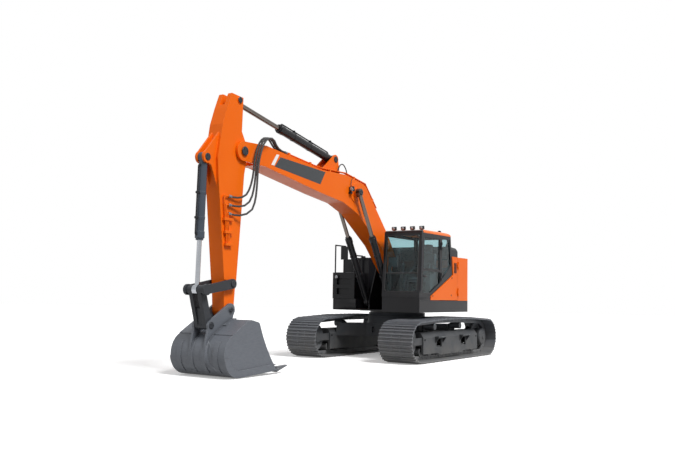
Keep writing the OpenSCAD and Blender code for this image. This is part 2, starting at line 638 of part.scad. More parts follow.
module engine_hood() {
    color([0.13, 0.13, 0.14]) at_swing() difference() {
        union() {
            box([-1080, 85 - house_hw, body_top - 40], [-474, house_hw - 85, body_top]);
            intersection() {
                flat(-700, 1080) polygon([[-1060, body_top - 10], [-500, body_top - 10],
                    [-500, body_top + 190], [-560, body_top + 262], [-640, body_top + 270],
                    [-1000, body_top + 240], [-1060, body_top + 150]]);
                translate([-1100, 0, body_top]) rotate([90, 0, 90]) linear_extrude(height = 700)
                    polygon([[-700, -11], [1080, -11], [1080, 190], [1020, 290], [-640, 290],
                        [-700, 190]]);
            }
        }
        intersection() {
            flat(-672, 1052) polygon([[-1032, body_top - 50], [-528, body_top - 50],
                [-528, body_top + 178], [-574, body_top + 234], [-644, body_top + 242],
                [-988, body_top + 214], [-1032, body_top + 142]]);
            translate([-1100, 0, body_top]) rotate([90, 0, 90]) linear_extrude(height = 700)
                polygon([[-672, -51], [1052, -51], [1052, 180], [1004, 262], [-624, 262],
                    [-672, 180]]);
        }
        for (k = [0:6]) box([-960, -520 + k * 210, body_top + 200], [-700, -400 + k * 210, body_top + 300]);
    }
    color([0.13, 0.13, 0.14]) at_swing() for (y = [-700, 700]) leaf_y(y, body_top, false);
}
module left_service_door() {
    color([0.93, 0.42, 0.1]) at_swing() flat(house_hw - 40, house_hw) polygon([
        [930, skirt_top + 8], [895, skirt_top + 95], [-150, 1872], [-214, 1908],
        [-165, body_top - 4], [-462, body_top - 4], [-462, skirt_top + 8]]);
    color([0.93, 0.42, 0.1]) at_swing()
        for (z = [skirt_top + 200, body_top - 200]) leaf_z(side_door_axis, house_hw, z, false);
}
module right_service_door() {
    color([0.93, 0.42, 0.1]) at_swing() flat(-house_hw, 40 - house_hw) polygon([
        [-106, skirt_top + 8], [-106, body_top - 4], [-462, body_top - 4], [-462, skirt_top + 8]]);
    color([0.93, 0.42, 0.1]) at_swing() mirror([0, 1, 0])
        for (z = [skirt_top + 200, body_top - 200]) leaf_z(side_door_axis, house_hw, z, false);
}
module exhaust_stack() {
    color([0.2, 0.2, 0.21]) at_swing() translate([-360, 1120, body_top - 2]) difference() {
        union() {
            cylinder(r = 58, h = 190);
            translate([0, 0, 185]) rotate([0, -25, 0]) cylinder(r = 42, h = 130);
        }
        translate([0, 0, 185]) rotate([0, -25, 0]) cylinder(r = 36, h = 140);
    }
}
module bar(a, b, r) {
    d = b - a;
    translate(a) rotate([0, atan2(norm([d[0], d[1]]), d[2]), atan2(d[1], d[0])])
        cylinder(r = r, h = norm(d));
}
module rail(points, r) {
    for (i = [0:len(points) - 2]) bar(points[i], points[i + 1], r);
    for (i = [1:len(points) - 2]) translate(points[i]) sphere(r = r + 1.5);
}
module handrails() {
    color([0.1, 0.1, 0.1]) at_swing() {
        rail([[700, -1320, 1940], [700, -1320, 2600], [260, -1320, 2600], [260, -1320, body_top - 60]], 17);
        rail([[700, -790, 1940], [700, -790, 2350], [340, -790, 2350], [340, -790, 1940]], 17);
    }
}
module mirror_right() {
    color([0.1, 0.1, 0.1]) at_swing() {
        translate([730, -1050, 1940]) cylinder(r = 14, h = 640);
        box([705, -1140, 2250], [745, -960, 2560]);
    }
}
module work_lights() {
    color([0.2, 0.2, 0.2]) at_swing() {
        for (y = [500, 730, 960, 1190]) {
            box([cab_front - 330, y, cab_top + 69.9], [cab_front - 250, y + 110, cab_top + 150]);
        }
        box([750, -1280, 1790], [790, -1180, 1880]);
    }
}

// Boom, arm and bucket
boom_line = [[0, 0, 150], [760 * boom_k, 420 * boom_k, 212], [1950 * boom_k, 855 * boom_k, 352],
    [2600 * boom_k, 800 * boom_k, 300], [3450 * boom_k, 560 * boom_k, 235],
    [boom_len - 590, 205, 195], [boom_len, 0, 175]];
// Upper edge of the boom between two stations: a point on it and its direction
function station(i) = [boom_line[i][0], boom_line[i][1]];
function top_out(i) = angle_of(station(i + 1) - station(i))
    + acos((boom_line[i][2] - boom_line[i + 1][2]) / norm(station(i + 1) - station(i)));
function top_at(i, along, up) =
    station(i) + (boom_line[i][2] + up) * dir(top_out(i)) + along * dir(top_out(i) - 90);
function top_len(i) = norm(station(i + 1) - station(i))
    * sin(top_out(i) - angle_of(station(i + 1) - station(i)));
function top_corner(i, up) =
    let (p = top_at(i, 0, up), u = dir(top_out(i) - 90), q = top_at(i + 1, 0, up),
        v = dir(top_out(i + 1) - 90), d = q - p)
    p + (d[0] * v[1] - d[1] * v[0]) / (u[0] * v[1] - u[1] * v[0]) * u;
function lift(p, y) = [p[0], y, p[1]];
module boom_outline(less) {
    chain(boom_line, less);
}
module in_boom() {
    translate([foot[0], 0, foot[1]]) rotate([0, -boom_angle, 0]) children();
}
module in_arm() {
    translate([boom_tip[0], 0, boom_tip[1]]) rotate([0, -arm_dir, 0]) children();
}
module boom() {
    color([0.93, 0.42, 0.1]) at_swing() in_boom() difference() {
        union() {
            flat(-boom_hw, boom_hw) boom_outline(0);
            both() pin(rod_boss, 95, boom_hw - 1, cyl_y - 52);
            both() pin(rod_boss, 200, boom_hw - 1, boom_hw + 14);
            both() pin([0, 0], 138, boom_hw - 1, boom_hw + 4);
            both() flat(92, 126) {
                translate(arm_boss) circle(r = 100);
                polygon([arm_boss + [-370, -420], arm_boss + [-57, 82], arm_boss + [73, 67],
                    arm_boss + [440, -520]]);
            }
            pin(arm_boss, 45, -110, 110);
        }
        flat(plate_t - boom_hw, boom_hw - plate_t) intersection() {
            boom_outline(plate_t + 2);
            translate([300, -900]) square([boom_len - 780, 3000]);
        }
        pin([0, 0], 60 + pin_gap, -boom_hw - 6, boom_hw + 6);
        box([boom_len - 440, -arm_hw - 13, -900], [boom_len + 400, arm_hw + 13, 900]);
    }
    color([0.6, 0.6, 0.62]) at_swing() pin(boom_tip, 55, -boom_hw - 20, boom_hw + 20);
}
module boom_pipes() {
    color([0.93, 0.42, 0.1]) at_swing() in_boom() {
        for (k = [0:2]) {
            y = boom_hw - 63 + 25 * k;
            wide = boom_hw - 125 + 45 * k;
            rail([lift(top_at(1, top_len(1) * 0.55, 40), y), lift(top_corner(1, 40), y),
                lift(top_corner(2, 40), y), lift(top_corner(3, 40), y),
                lift(top_at(4, 260, 40), wide), lift(top_at(4, top_len(4) - 600, 40), wide)], 11);
        }
        for (c = [[1, 0.72, 74], [2, 0.5, 74], [3, 0.62, 74], [4, 0.22, 155], [4, 0.61, 155]])
            translate(lift(top_at(c[0], c[1] * top_len(c[0]), 0.3), boom_hw - c[2]))
                rotate([0, 90 - top_out(c[0]), 0]) cube([46, c[2] - 2, 56]);
    }
}
module hose(path) {
    sides = 10;
    last = len(path) - 1;
    function heading(i) = let (d = path[min(i + 1, last)] - path[max(i - 1, 0)]) d / norm(d);
    function ring(i) =
        let (h = heading(i), a = cross(h, [0, 1, 0]), u = a / norm(a), v = cross(h, u))
        [for (k = [0:sides - 1]) path[i] + hose_r * (cos(k * 360 / sides) * u + sin(k * 360 / sides) * v)];
    polyhedron(points = [for (i = [0:last]) each ring(i)], faces = concat(
        [[for (k = [0:sides - 1]) k]],
        [for (i = [0:last - 1], k = [0:sides - 1]) each [
            [i * sides + k, (i + 1) * sides + k, (i + 1) * sides + (k + 1) % sides],
            [i * sides + k, (i + 1) * sides + (k + 1) % sides, i * sides + (k + 1) % sides]]],
        [[for (k = [sides - 1:-1:0]) last * sides + k]]));
}
module arm_hoses() {
    color([0.06, 0.06, 0.06]) at_swing() translate([boom_tip[0], 0, boom_tip[1]])
        for (path = hose_routes) hose(path);
}
// Pipes on the left side of the arm, each from a hose's end to below, on clamps
module arm_pipes() {
    color([0.93, 0.42, 0.1]) at_swing() translate([boom_tip[0], 0, boom_tip[1]])
        for (k = [0:2]) {
            e = hose_routes[k][len(hose_routes[k]) - 1];
            top_x = 470 - 55 * k;
            low_z = -1700 + 50 * k;
            rail([[e[0] + 2.5, e[1], e[2]], [top_x, e[1], e[2]],
                [top_x + 0.13 * (low_z - e[2]), e[1], low_z]], 12);
        }
    color([0.93, 0.42, 0.1]) at_swing() translate([boom_tip[0], 0, boom_tip[1]])
        for (z = [-1260, -1480, -1690]) box([225, arm_hw + 0.3, z], [460 + 0.13 * (z + 1260), arm_hw + 56, z + 45]);
}
arm_outline = [[-960, 70], [-350, 40], [-120, -124], [150, -140], [391, -110], [1392, -117],
    [arm_len - 115, -120], [arm_len, -118], [arm_len, 118], [arm_len - 410, 176], [935, 469],
    [600, 540], [247, 600], [-363, 547], [-670, 470], [-960, 380]];
module arm_side() {
    polygon(arm_outline);
    circle(r = 172);
    translate([arm_len, 0]) circle(r = 118);
}
arm_hollow = [[-700, 110], [-330, 90], [200, 190], [391, -90], [1392, -98], [arm_len - 620, -102],
    [arm_len - 620, 190], [935, 450], [600, 520], [247, 580], [-363, 525], [-640, 450]];
module arm() {
    color([0.93, 0.42, 0.1]) at_swing() in_arm() difference() {
        union() {
            intersection() {
                flat(-arm_hw, arm_hw) arm_side();
                box([-2000, -400, -400], [arm_len - 500, 400, 900]);
            }
            flat(-135, 135) arm_side();
            both() flat(58, 98) {
                translate([277, 790]) circle(r = 105);
                polygon([[-300, 500], [205, 860], [277, 790], [372, 752], [400, 690], [800, 470]]);
            }
            pin([277, 790], 42, -90, 90);
            both() pin([-893, 165], 58, arm_hw - 1, arm_hw + 14);
            pin([arm_len - 444, 32], 45, -232, 232);
        }
        flat(plate_t - 135, 135 - plate_t) polygon(arm_hollow);
        pin([0, 0], 55 + pin_gap, -200, 200);
        pin([arm_len, 0], 45 + pin_gap, -200, 200);
        box([-1100, -57, -60], [-745, 57, 500]);
    }
}
module boom_cylinder_left_barrel() {
    color([0.15, 0.15, 0.16]) at_swing()
        barrel(cyl_base, boom_rod_pin, cyl_y, boom_cyl_r, 43, 0.617, 88, 92, 45 + pin_gap);
}
module boom_cylinder_right_barrel() {
    color([0.15, 0.15, 0.16]) at_swing()
        barrel(cyl_base, boom_rod_pin, -cyl_y, boom_cyl_r, 43, 0.617, 88, 92, 45 + pin_gap);
}
module boom_cylinder_left_rod() {
    color([0.7, 0.7, 0.72]) at_swing() rod(cyl_base, boom_rod_pin, cyl_y, 43, 0.597, 85, 92);
}
module boom_cylinder_right_rod() {
    color([0.7, 0.7, 0.72]) at_swing() rod(cyl_base, boom_rod_pin, -cyl_y, 43, 0.597, 85, 92);
}
module arm_cylinder_barrel() {
    color([0.12, 0.12, 0.13]) at_swing()
        barrel(arm_cyl_base, arm_rod_pin, 0, arm_cyl_r, 47, 0.5845, 92, 172, 45 + pin_gap);
}
module arm_cylinder_rod() {
    color([0.7, 0.7, 0.72]) at_swing() rod(arm_cyl_base, arm_rod_pin, 0, 47, 0.6128, 80, 104);
}
module bucket_cylinder_barrel() {
    color([0.2, 0.22, 0.25]) at_swing()
        barrel(bucket_cyl_base, lever_end, 0, bucket_cyl_r, 40, 0.632, 88, 104, 42 + pin_gap);
}
module bucket_cylinder_rod() {
    color([0.75, 0.75, 0.77]) at_swing() rod(bucket_cyl_base, lever_end, 0, 40, 0.672, 80, 100);
}
module bucket_levers() {
    color([0.22, 0.23, 0.25]) at_swing() both() difference() {
        union() {
            flat(187, 225) limb(lever_pin, 85, lever_end, 75);
            pin(lever_end, 92, 187, 232);
        }
        pin(lever_pin, 45 + pin_gap, 100, 300);
    }
}
module bucket_link() {
    color([0.22, 0.23, 0.25]) at_swing() difference() {
        union() {
            both() pin(lever_end, 70, 56, 181);
            both() flat(56, 134) limb(lever_end, 66, link_pin, 72);
            pin(link_pin, 72, -134, 134);
            flat(-60, 60) limb(link_pin + 0.45 * (lever_end - link_pin), 40, link_pin, 60);
        }
        pin(link_pin, 42 + pin_gap, -200, 200);
    }
}
module bucket_side() {
    c = [heel[0], heel[1]];
    up = touch(back_top, c, heel_r, -1);
    low = touch(lip, c, heel_r, 1);
    polygon(concat([back_top, [-235, -196], [-275, -214]], bow([-298, -250], [-480, -700], lip, 8),
        [low, c, up]));
    polygon([back_top, up, c]);
    translate(c) circle(r = heel_r);
}
module bucket_space(t) {
    c = heel;
    r = heel_r - t;
    up = touch(back_top, c, heel_r, -1);
    low = touch(lip, c, heel_r, 1);
    n1 = dir(angle_of(up - c));
    n2 = dir(angle_of(low - c));
    polygon([back_top - t * n1, back_top - t * n1 + 600 * dir(angle_of(back_top - up)),
        [-1600, -400], lip - t * n2 + 600 * dir(angle_of(lip - low)), lip - t * n2,
        c + (r - weld) * n2, c, c + (r - weld) * n1]);
    translate(c) circle(r = r);
}
module in_bucket() {
    translate([bucket_pin[0], 0, bucket_pin[1]]) children();
}
up_at = touch(back_top, heel, heel_r, -1);
out_up = dir(angle_of(up_at - heel));
module bucket() {
    color([0.3, 0.32, 0.35]) at_swing() in_bucket() {
        flat(-bucket_w / 2, bucket_w / 2) difference() {
            bucket_side();
            bucket_space(bucket_t);
        }
        for (y = [-bucket_w / 2, bucket_w / 2 - bucket_t]) flat(y, y + bucket_t) bucket_side();
        both() flat(bucket_w / 2 - 1, bucket_w / 2 + 14) intersection() {
            difference() {
                bucket_side();
                bucket_space(120);
            }
            polygon([[-790, -1300], [700, -1300], [700, -760], [-100, -860], [-560, -860]]);
        }
        for (k = [-1.5:1:1.5]) flat(k * bucket_w / 4.4 - 45, k * bucket_w / 4.4 + 45) intersection() {
            translate(heel) difference() {
                circle(r = heel_r + 9);
                circle(r = heel_r - bucket_t / 2);
            }
            polygon([heel, heel + 900 * dir(-52), heel + 900 * dir(0), heel + 900 * dir(38)]);
        }
        flat(-bucket_w / 2, bucket_w / 2) polygon([back_top + [60, 0], up_at + 10 * out_up,
            up_at - 8 * out_up, back_top + [60, -40]]);
        both() flat(140, 180) {
            limb([0, 0], 112, link_pin - bucket_pin, 82);
            polygon([[-100, -30], [-50, -175], [400, -445], [500, -640], [570, -690], [612, -660],
                [600, -560], [540, -300], [469, -200], [0, 60]]);
        }
        both() flat(179, 260) polygon([[-75, -140], [-50, -185], [150, -300], [190, -255]]);
        flat(-bucket_w / 2 + 1, bucket_w / 2 - 1) translate([-105, -218]) circle(r = 52);
        pin([0, 0], 45, -205, 205);
        pin(link_pin - bucket_pin, 42, -179, 179);
    }
}
module bucket_teeth() {
    color([0.26, 0.27, 0.29]) at_swing() in_bucket()
        for (k = [0:tooth_count - 1]) {
            y = -bucket_w / 2 + 70 + k * (bucket_w - 140) / (tooth_count - 1);
            intersection() {
                flat(y - 60, y + 60) polygon([[-790.3, -1045], [-800, -1080], [-950, -1040],
                    [-1150, -982], [-1150, -975], [-940, -985], [-800, -985]]);
                translate([0, y, -1200]) linear_extrude(height = 400) polygon([[-600, -54],
                    [-860, -54], [-900, -46], [-1151, -38], [-1151, 38], [-900, 46], [-860, 54],
                    [-600, 54]]);
            }
        }
}

car_body();
track_frame_left();
track_frame_right();
track_left();
track_right();
front_idlers();
drive_sprockets();
travel_motors();
track_rollers();
carrier_rollers();
swing_ring();
main_frame();
counterweight();
side_skirts();
cab_shell();
cab_roof();
cab_glass();
operator_seat();
cab_controls();
cab_door();
cab_door_glass();
tool_box();
tank();
engine_block();
rear_deck();
engine_hood();
left_service_door();
right_service_door();
exhaust_stack();
handrails();
mirror_right();
work_lights();
boom();
boom_pipes();
boom_cylinder_left_barrel();
boom_cylinder_left_rod();
boom_cylinder_right_barrel();
boom_cylinder_right_rod();
arm();
arm_pipes();
arm_hoses();
arm_cylinder_barrel();
arm_cylinder_rod();
bucket_cylinder_barrel();
bucket_cylinder_rod();
bucket_levers();
bucket_link();
bucket();
bucket_teeth();
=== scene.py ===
"""Looks of a crawler excavator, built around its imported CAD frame.

Lengths in the piece tables are millimetres in the machine's own frame: x forward from the swing
axis, y to the operator's left, z up from the ground. spot() turns them into the row frame.
"""

import math

import bmesh
import bpy
from mathutils import Matrix, Vector


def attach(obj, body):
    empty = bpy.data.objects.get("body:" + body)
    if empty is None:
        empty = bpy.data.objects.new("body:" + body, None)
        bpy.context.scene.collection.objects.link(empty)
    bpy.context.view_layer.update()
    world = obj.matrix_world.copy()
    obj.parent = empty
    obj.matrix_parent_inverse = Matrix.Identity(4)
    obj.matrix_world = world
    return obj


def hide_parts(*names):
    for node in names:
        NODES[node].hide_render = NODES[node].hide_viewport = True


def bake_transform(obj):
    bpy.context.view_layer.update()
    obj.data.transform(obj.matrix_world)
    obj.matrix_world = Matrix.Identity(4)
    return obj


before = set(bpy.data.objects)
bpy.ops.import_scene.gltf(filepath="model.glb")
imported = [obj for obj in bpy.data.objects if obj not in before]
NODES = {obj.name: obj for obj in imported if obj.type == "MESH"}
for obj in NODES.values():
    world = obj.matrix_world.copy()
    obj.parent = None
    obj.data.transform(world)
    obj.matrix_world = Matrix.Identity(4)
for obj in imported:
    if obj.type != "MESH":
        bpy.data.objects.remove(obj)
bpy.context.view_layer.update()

# Main sizes, as in the part's source
SWING_X = -2330
GAUGE = 2390
TUMBLER = 3650
PITCH_R = 365
SHOE_COUNT = 49
SHOE_TIP = 80
RAIL_IN = 50
TOP_RISE = 55
CARRIER_R = 75
CARRIER_X = (640, -700)
AXLE_Z = SHOE_TIP + PITCH_R
HOUSE_HW = 1355
BODY_TOP = 2340
SKIRT_TOP = 1320
TAIL_R = 1720
CAB_FRONT = 1450
CAB_FLOOR = 1390
CAB_TOP = 2790
CAB_INNER = 410
CAB_OUTER = 1340
CAB_WALL = 45
FOOT = (460, 2060)
BOOM_LEN = 5820
BOOM_ANGLE = 18.4
BOOM_HW = 205
ARM_LEN = 2790
ARM_TILT = 4.3
ARM_HW = 150
BOOM_CYL_Y = 312
BOOM_CYL_R = 71
ARM_CYL_R = 82
BUCKET_CYL_R = 72
BUCKET_W = 1200
TOOTH_COUNT = 5

BOOM_DIR = math.radians(BOOM_ANGLE)
ARM_DIR = math.radians(ARM_TILT - 90)
TIP = (FOOT[0] + BOOM_LEN * math.cos(BOOM_DIR), FOOT[1] + BOOM_LEN * math.sin(BOOM_DIR))
BUCKET_PIN = (TIP[0] + ARM_LEN * math.cos(ARM_DIR), TIP[1] + ARM_LEN * math.sin(ARM_DIR))

# Pins of the cylinders and levers, along and above the line of the boom or arm that carries them
BOOM_ROD_PIN = (2223, 884)
ARM_CYL_FOOT = (3047, 1273)
ARM_ROD_PIN = (-893, 165)
BUCKET_CYL_FOOT = (277, 790)
LEVER_PIN = (ARM_LEN - 444, 32)
# The link's pin from the bucket's pin, and two pins in the machine's frame
LINK_PIN = (469, -255)
BOOM_CYL_FOOT = (850, 1250)
LEVER_END = (6841, 1450)


# Places
def spot(x, y, z):
    """A point of the machine's frame, in the row frame."""
    return Vector(((x + SWING_X) / 1000, y / 1000, z / 1000))


def flat_point(origin, angle, along, up):
    """x and z of a point given along and above a line that leaves origin at that angle."""
    return (origin[0] + along * math.cos(angle) - up * math.sin(angle),
            origin[1] + along * math.sin(angle) + up * math.cos(angle))


def flat_boom(along, up):
    """x and z of a point along and above the boom's line."""
    return flat_point(FOOT, BOOM_DIR, along, up)


def flat_arm(along, up):
    """x and z of a point along and above the arm's line."""
    return flat_point(TIP, ARM_DIR, along, up)


def on_boom(along, y, up):
    """A point beside the boom's line, in the row frame."""
    x, z = flat_boom(along, up)
    return spot(x, y, z)


def on_bucket(x, y, z):
    """A point given from the bucket's pin, in the row frame."""
    return spot(BUCKET_PIN[0] + x, y, BUCKET_PIN[1] + z)


def basis(origin, x_axis, y_axis):
    """The matrix of a frame with that origin, X direction and rough Y direction."""
    x = Vector(x_axis).normalized()
    z = x.cross(Vector(y_axis)).normalized()
    y = z.cross(x)
    matrix = Matrix((x, y, z)).transposed().to_4x4()
    matrix.translation = origin
    return matrix


# Shader helpers
def join(tree, *pairs):
    """Links pairs of sockets."""
    for source, target in pairs:
        tree.links.new(source, target)


def set_values(node, values):
    """Sets a node's inputs by their names."""
    for name, value in values.items():
        node.inputs[name].default_value = value


def maths(tree, operation, first, second=None, clamp=False):
    """A math node on a socket and a socket or number; gives its output socket."""
    made = tree.nodes.new("ShaderNodeMath")
    made.operation = operation
    made.use_clamp = clamp
    tree.links.new(first, made.inputs[0])
    if isinstance(second, (int, float)):
        made.inputs[1].default_value = second
    elif second is not None:
        tree.links.new(second, made.inputs[1])
    return made.outputs[0]


def noise(tree, vector, scale, detail=3.0, stretch=None):
    """A noise texture's value on those coordinates; scale is a socket or a number."""
    if stretch:
        mapping = tree.nodes.new("ShaderNodeMapping")
        mapping.inputs["Scale"].default_value = stretch
        tree.links.new(vector, mapping.inputs["Vector"])
        vector = mapping.outputs["Vector"]
    made = tree.nodes.new("ShaderNodeTexNoise")
    made.inputs["Detail"].default_value = detail
    if isinstance(scale, (int, float)):
        made.inputs["Scale"].default_value = scale
    else:
        tree.links.new(scale, made.inputs["Scale"])
    tree.links.new(vector, made.inputs["Vector"])
    return made.outputs["Fac"]


def blend_colours(tree, factor, first, second):
    """Mixes two colours, each a socket or a colour value, by a socket."""
    mix = tree.nodes.new("ShaderNodeMix")
    mix.data_type = "RGBA"
    tree.links.new(factor, mix.inputs["Factor"])
    for value, name in ((first, "A"), (second, "B")):
        if isinstance(value, tuple):
            mix.inputs[name].default_value = value
        else:
            tree.links.new(value, mix.inputs[name])
    return mix.outputs["Result"]


def ranged(tree, value, low, high):
    """A 0 to 1 socket spread between two numbers."""
    made = tree.nodes.new("ShaderNodeMapRange")
    set_values(made, {"To Min": low, "To Max": high})
    tree.links.new(value, made.inputs["Value"])
    return made.outputs["Result"]


def bumped(tree, height, distance):
    """A normal that a height socket bends."""
    bump = tree.nodes.new("ShaderNodeBump")
    bump.inputs["Distance"].default_value = distance
    tree.links.new(height, bump.inputs["Height"])
    return bump.outputs["Normal"]


def object_place(tree):
    """The texture coordinates that stay with the piece."""
    return tree.nodes.new("ShaderNodeTexCoord").outputs["Object"]


# Camera and light
CAMERA_PLACE = (16352, 9033, 1401)
CAMERA_YAW = math.radians(213.384)
CAMERA_PITCH = math.radians(5.044)
CAMERA_ROLL = math.radians(1.036)
PHOTO_WIDTH = 675
FOCAL_PIXELS = 776.5
SENSOR = 36.0
WORLD_LIGHT = 0.34
FLOOR_DIM = (0.3, 0.3, 0.3, 1)
FLOOR_PALE = (0.93, 0.93, 0.93, 1)
FLOOR_LIFT = 0.3
KEY_LIGHT = 3.3
FILL_LIGHT = 160


def make_camera():
    data = bpy.data.cameras.new("photo_camera")
    data.sensor_width = SENSOR
    data.lens = FOCAL_PIXELS * SENSOR / PHOTO_WIDTH
    data.clip_end = 200
    camera = bpy.data.objects.new("photo_camera", data)
    bpy.context.scene.collection.objects.link(camera)
    forward = Vector((math.cos(CAMERA_YAW) * math.cos(CAMERA_PITCH),
                      math.sin(CAMERA_YAW) * math.cos(CAMERA_PITCH), math.sin(CAMERA_PITCH)))
    right = forward.cross(Vector((0, 0, 1))).normalized()
    up = right.cross(forward)
    rolled_right = right * math.cos(CAMERA_ROLL) + up * math.sin(CAMERA_ROLL)
    rolled_up = up * math.cos(CAMERA_ROLL) - right * math.sin(CAMERA_ROLL)
    matrix = Matrix((rolled_right, rolled_up, -forward)).transposed().to_4x4()
    matrix.translation = spot(*CAMERA_PLACE)
    camera.matrix_world = matrix
    bpy.context.scene.camera = camera


def make_lamp(name, kind, energy, place, aim, size):
    """A lamp at a place that looks at aim; size is an area's width or a sun's angle."""
    data = bpy.data.lights.new(name, kind)
    data.energy = energy
    if kind == "AREA":
        data.size = size
    else:
        data.angle = size
    lamp = bpy.data.objects.new(name, data)
    bpy.context.scene.collection.objects.link(lamp)
    direction = Vector(aim) - Vector(place)
    lamp.rotation_mode = "QUATERNION"
    lamp.rotation_quaternion = direction.to_track_quat("-Z", "Y")
    lamp.location = place


def seen_rays(tree):
    """1 for rays that show the background: straight, mirrored or through glass."""
    rays = tree.nodes.new("ShaderNodeLightPath").outputs
    mirrored = maths(tree, "MAXIMUM", rays["Is Camera Ray"], rays["Is Glossy Ray"])
    return maths(tree, "MAXIMUM", mirrored, rays["Is Transmission Ray"])


def make_world():
    world = bpy.data.worlds.new("studio")
    bpy.context.scene.world = world
    world.use_nodes = True
    tree = world.node_tree
    background = tree.nodes["Background"]
    level = ranged(tree, seen_rays(tree), WORLD_LIGHT, 1.0)
    tree.links.new(level, background.inputs["Strength"])
    background.inputs["Color"].default_value = (1, 1, 1, 1)


def make_floor():
    """A wide pale floor: white to the camera apart from its soft shadows, dim to the machine."""
    bm = bmesh.new()
    bmesh.ops.create_circle(bm, cap_ends=True, radius=60, segments=64)
    mesh = bpy.data.meshes.new("floor")
    bm.to_mesh(mesh)
    bm.free()
    floor = bpy.data.objects.new("floor", mesh)
    bpy.context.scene.collection.objects.link(floor)
    material = bpy.data.materials.new("pale_floor")
    material.use_nodes = True
    tree = material.node_tree
    shader = tree.nodes["Principled BSDF"]
    set_values(shader, {"Roughness": 0.8, "Specular IOR Level": 0.1})
    seen = seen_rays(tree)
    lift = tree.nodes.new("ShaderNodeEmission")
    both = tree.nodes.new("ShaderNodeAddShader")
    join(tree, (blend_colours(tree, seen, FLOOR_DIM, FLOOR_PALE), shader.inputs["Base Color"]),
         (maths(tree, "MULTIPLY", seen, FLOOR_LIFT), lift.inputs["Strength"]),
         (shader.outputs["BSDF"], both.inputs[0]), (lift.outputs["Emission"], both.inputs[1]),
         (both.outputs["Shader"], tree.nodes["Material Output"].inputs["Surface"]))
    mesh.materials.append(material)


bpy.context.scene.view_settings.view_transform = "Standard"
make_camera()
make_world()
make_floor()
make_lamp("key_sun", "SUN", KEY_LIGHT, (2, 9, 11), (0, 0, 0), math.radians(20))
make_lamp("front_fill", "AREA", FILL_LIGHT, (13, -3, 7), (1, 0, 1.5), 8)


# Shader groups that several finishes share
def group_socket(group, name, way, kind, value=None):
    socket = group.interface.new_socket(name, in_out=way, socket_type=kind)
    if value is not None:
        socket.default_value = value


def make_surface_group():
    """Broad clouding, fine grain, worn edges and a normal with softened edges."""
    group = bpy.data.node_groups.new("worked_surface", "ShaderNodeTree")
    settings = {"Cloud Scale": 1.5, "Grain Scale": 300, "Grain Depth": 0.0004, "Edge Radius": 0.006}
    for name, value in settings.items():
        group_socket(group, name, "INPUT", "NodeSocketFloat", value)
    for name in ("Cloud", "Grain", "Edge"):
        group_socket(group, name, "OUTPUT", "NodeSocketFloat")
    group_socket(group, "Normal", "OUTPUT", "NodeSocketVector")
    given = group.nodes.new("NodeGroupInput")
    result = group.nodes.new("NodeGroupOutput")
    place = object_place(group)
    cloud = noise(group, place, given.outputs["Cloud Scale"])
    grain = noise(group, place, given.outputs["Grain Scale"], 2.0)
    bevel = group.nodes.new("ShaderNodeBevel")
    bevel.samples = 4
    flat = group.nodes.new("ShaderNodeNewGeometry")
    facing = group.nodes.new("ShaderNodeVectorMath")
    facing.operation = "DOT_PRODUCT"
    bump = group.nodes.new("ShaderNodeBump")
    join(group, (given.outputs["Edge Radius"], bevel.inputs["Radius"]),
         (bevel.outputs["Normal"], facing.inputs[0]), (flat.outputs["True Normal"], facing.inputs[1]),
         (grain, bump.inputs["Height"]), (given.outputs["Grain Depth"], bump.inputs["Distance"]),
         (bevel.outputs["Normal"], bump.inputs["Normal"]))
    away = maths(group, "SUBTRACT", facing.outputs["Value"], 1.0)
    rim = maths(group, "MULTIPLY", away, -7.0, True)
    patches = maths(group, "MULTIPLY", noise(group, place, 9.0), 1.5)
    join(group, (cloud, result.inputs["Cloud"]), (grain, result.inputs["Grain"]),
         (maths(group, "MULTIPLY", rim, patches, True), result.inputs["Edge"]),
         (bump.outputs["Normal"], result.inputs["Normal"]))
    return group


def make_dust_group():
    """Fine dust that thins out above the ground."""
    group = bpy.data.node_groups.new("ground_dust", "ShaderNodeTree")
    group_socket(group, "Color", "INPUT", "NodeSocketColor", (0.1, 0.1, 0.1, 1))
    group_socket(group, "Dust Color", "INPUT", "NodeSocketColor", (0.3, 0.28, 0.25, 1))
    group_socket(group, "Height", "INPUT", "NodeSocketFloat", 1.0)
    group_socket(group, "Amount", "INPUT", "NodeSocketFloat", 0.3)
    group_socket(group, "Color", "OUTPUT", "NodeSocketColor")
    given = group.nodes.new("NodeGroupInput")
    result = group.nodes.new("NodeGroupOutput")
    place = object_place(group)
    parts = group.nodes.new("ShaderNodeSeparateXYZ")
    join(group, (place, parts.inputs[0]))
    share = maths(group, "DIVIDE", parts.outputs["Z"], given.outputs["Height"], True)
    low = maths(group, "SUBTRACT", share, 1.0)
    settled = maths(group, "MULTIPLY", maths(group, "MULTIPLY", low, noise(group, place, 4.0, 6.0)), -2.0)
    cover = maths(group, "MULTIPLY", settled, given.outputs["Amount"], True)
    mixed = blend_colours(group, cover, given.outputs["Color"], given.outputs["Dust Color"])
    join(group, (mixed, result.inputs["Color"]))
    return group


SURFACE = make_surface_group()
DUST = make_dust_group()


# Finishes
def colour(red, green, blue):
    """An sRGB colour of 0 to 255 as Blender's linear colour."""
    def linear(value):
        share = value / 255
        return share / 12.92 if share <= 0.04045 else ((share + 0.055) / 1.055) ** 2.4
    return (linear(red), linear(green), linear(blue), 1)


def new_finish(name):
    material = bpy.data.materials.new(name)
    material.use_nodes = True
    return material, material.node_tree, material.node_tree.nodes["Principled BSDF"]


def add_group(tree, group, **values):
    made = tree.nodes.new("ShaderNodeGroup")
    made.node_tree = group
    for key, value in values.items():
        made.inputs[key.replace("_", " ").title()].default_value = value
    return made


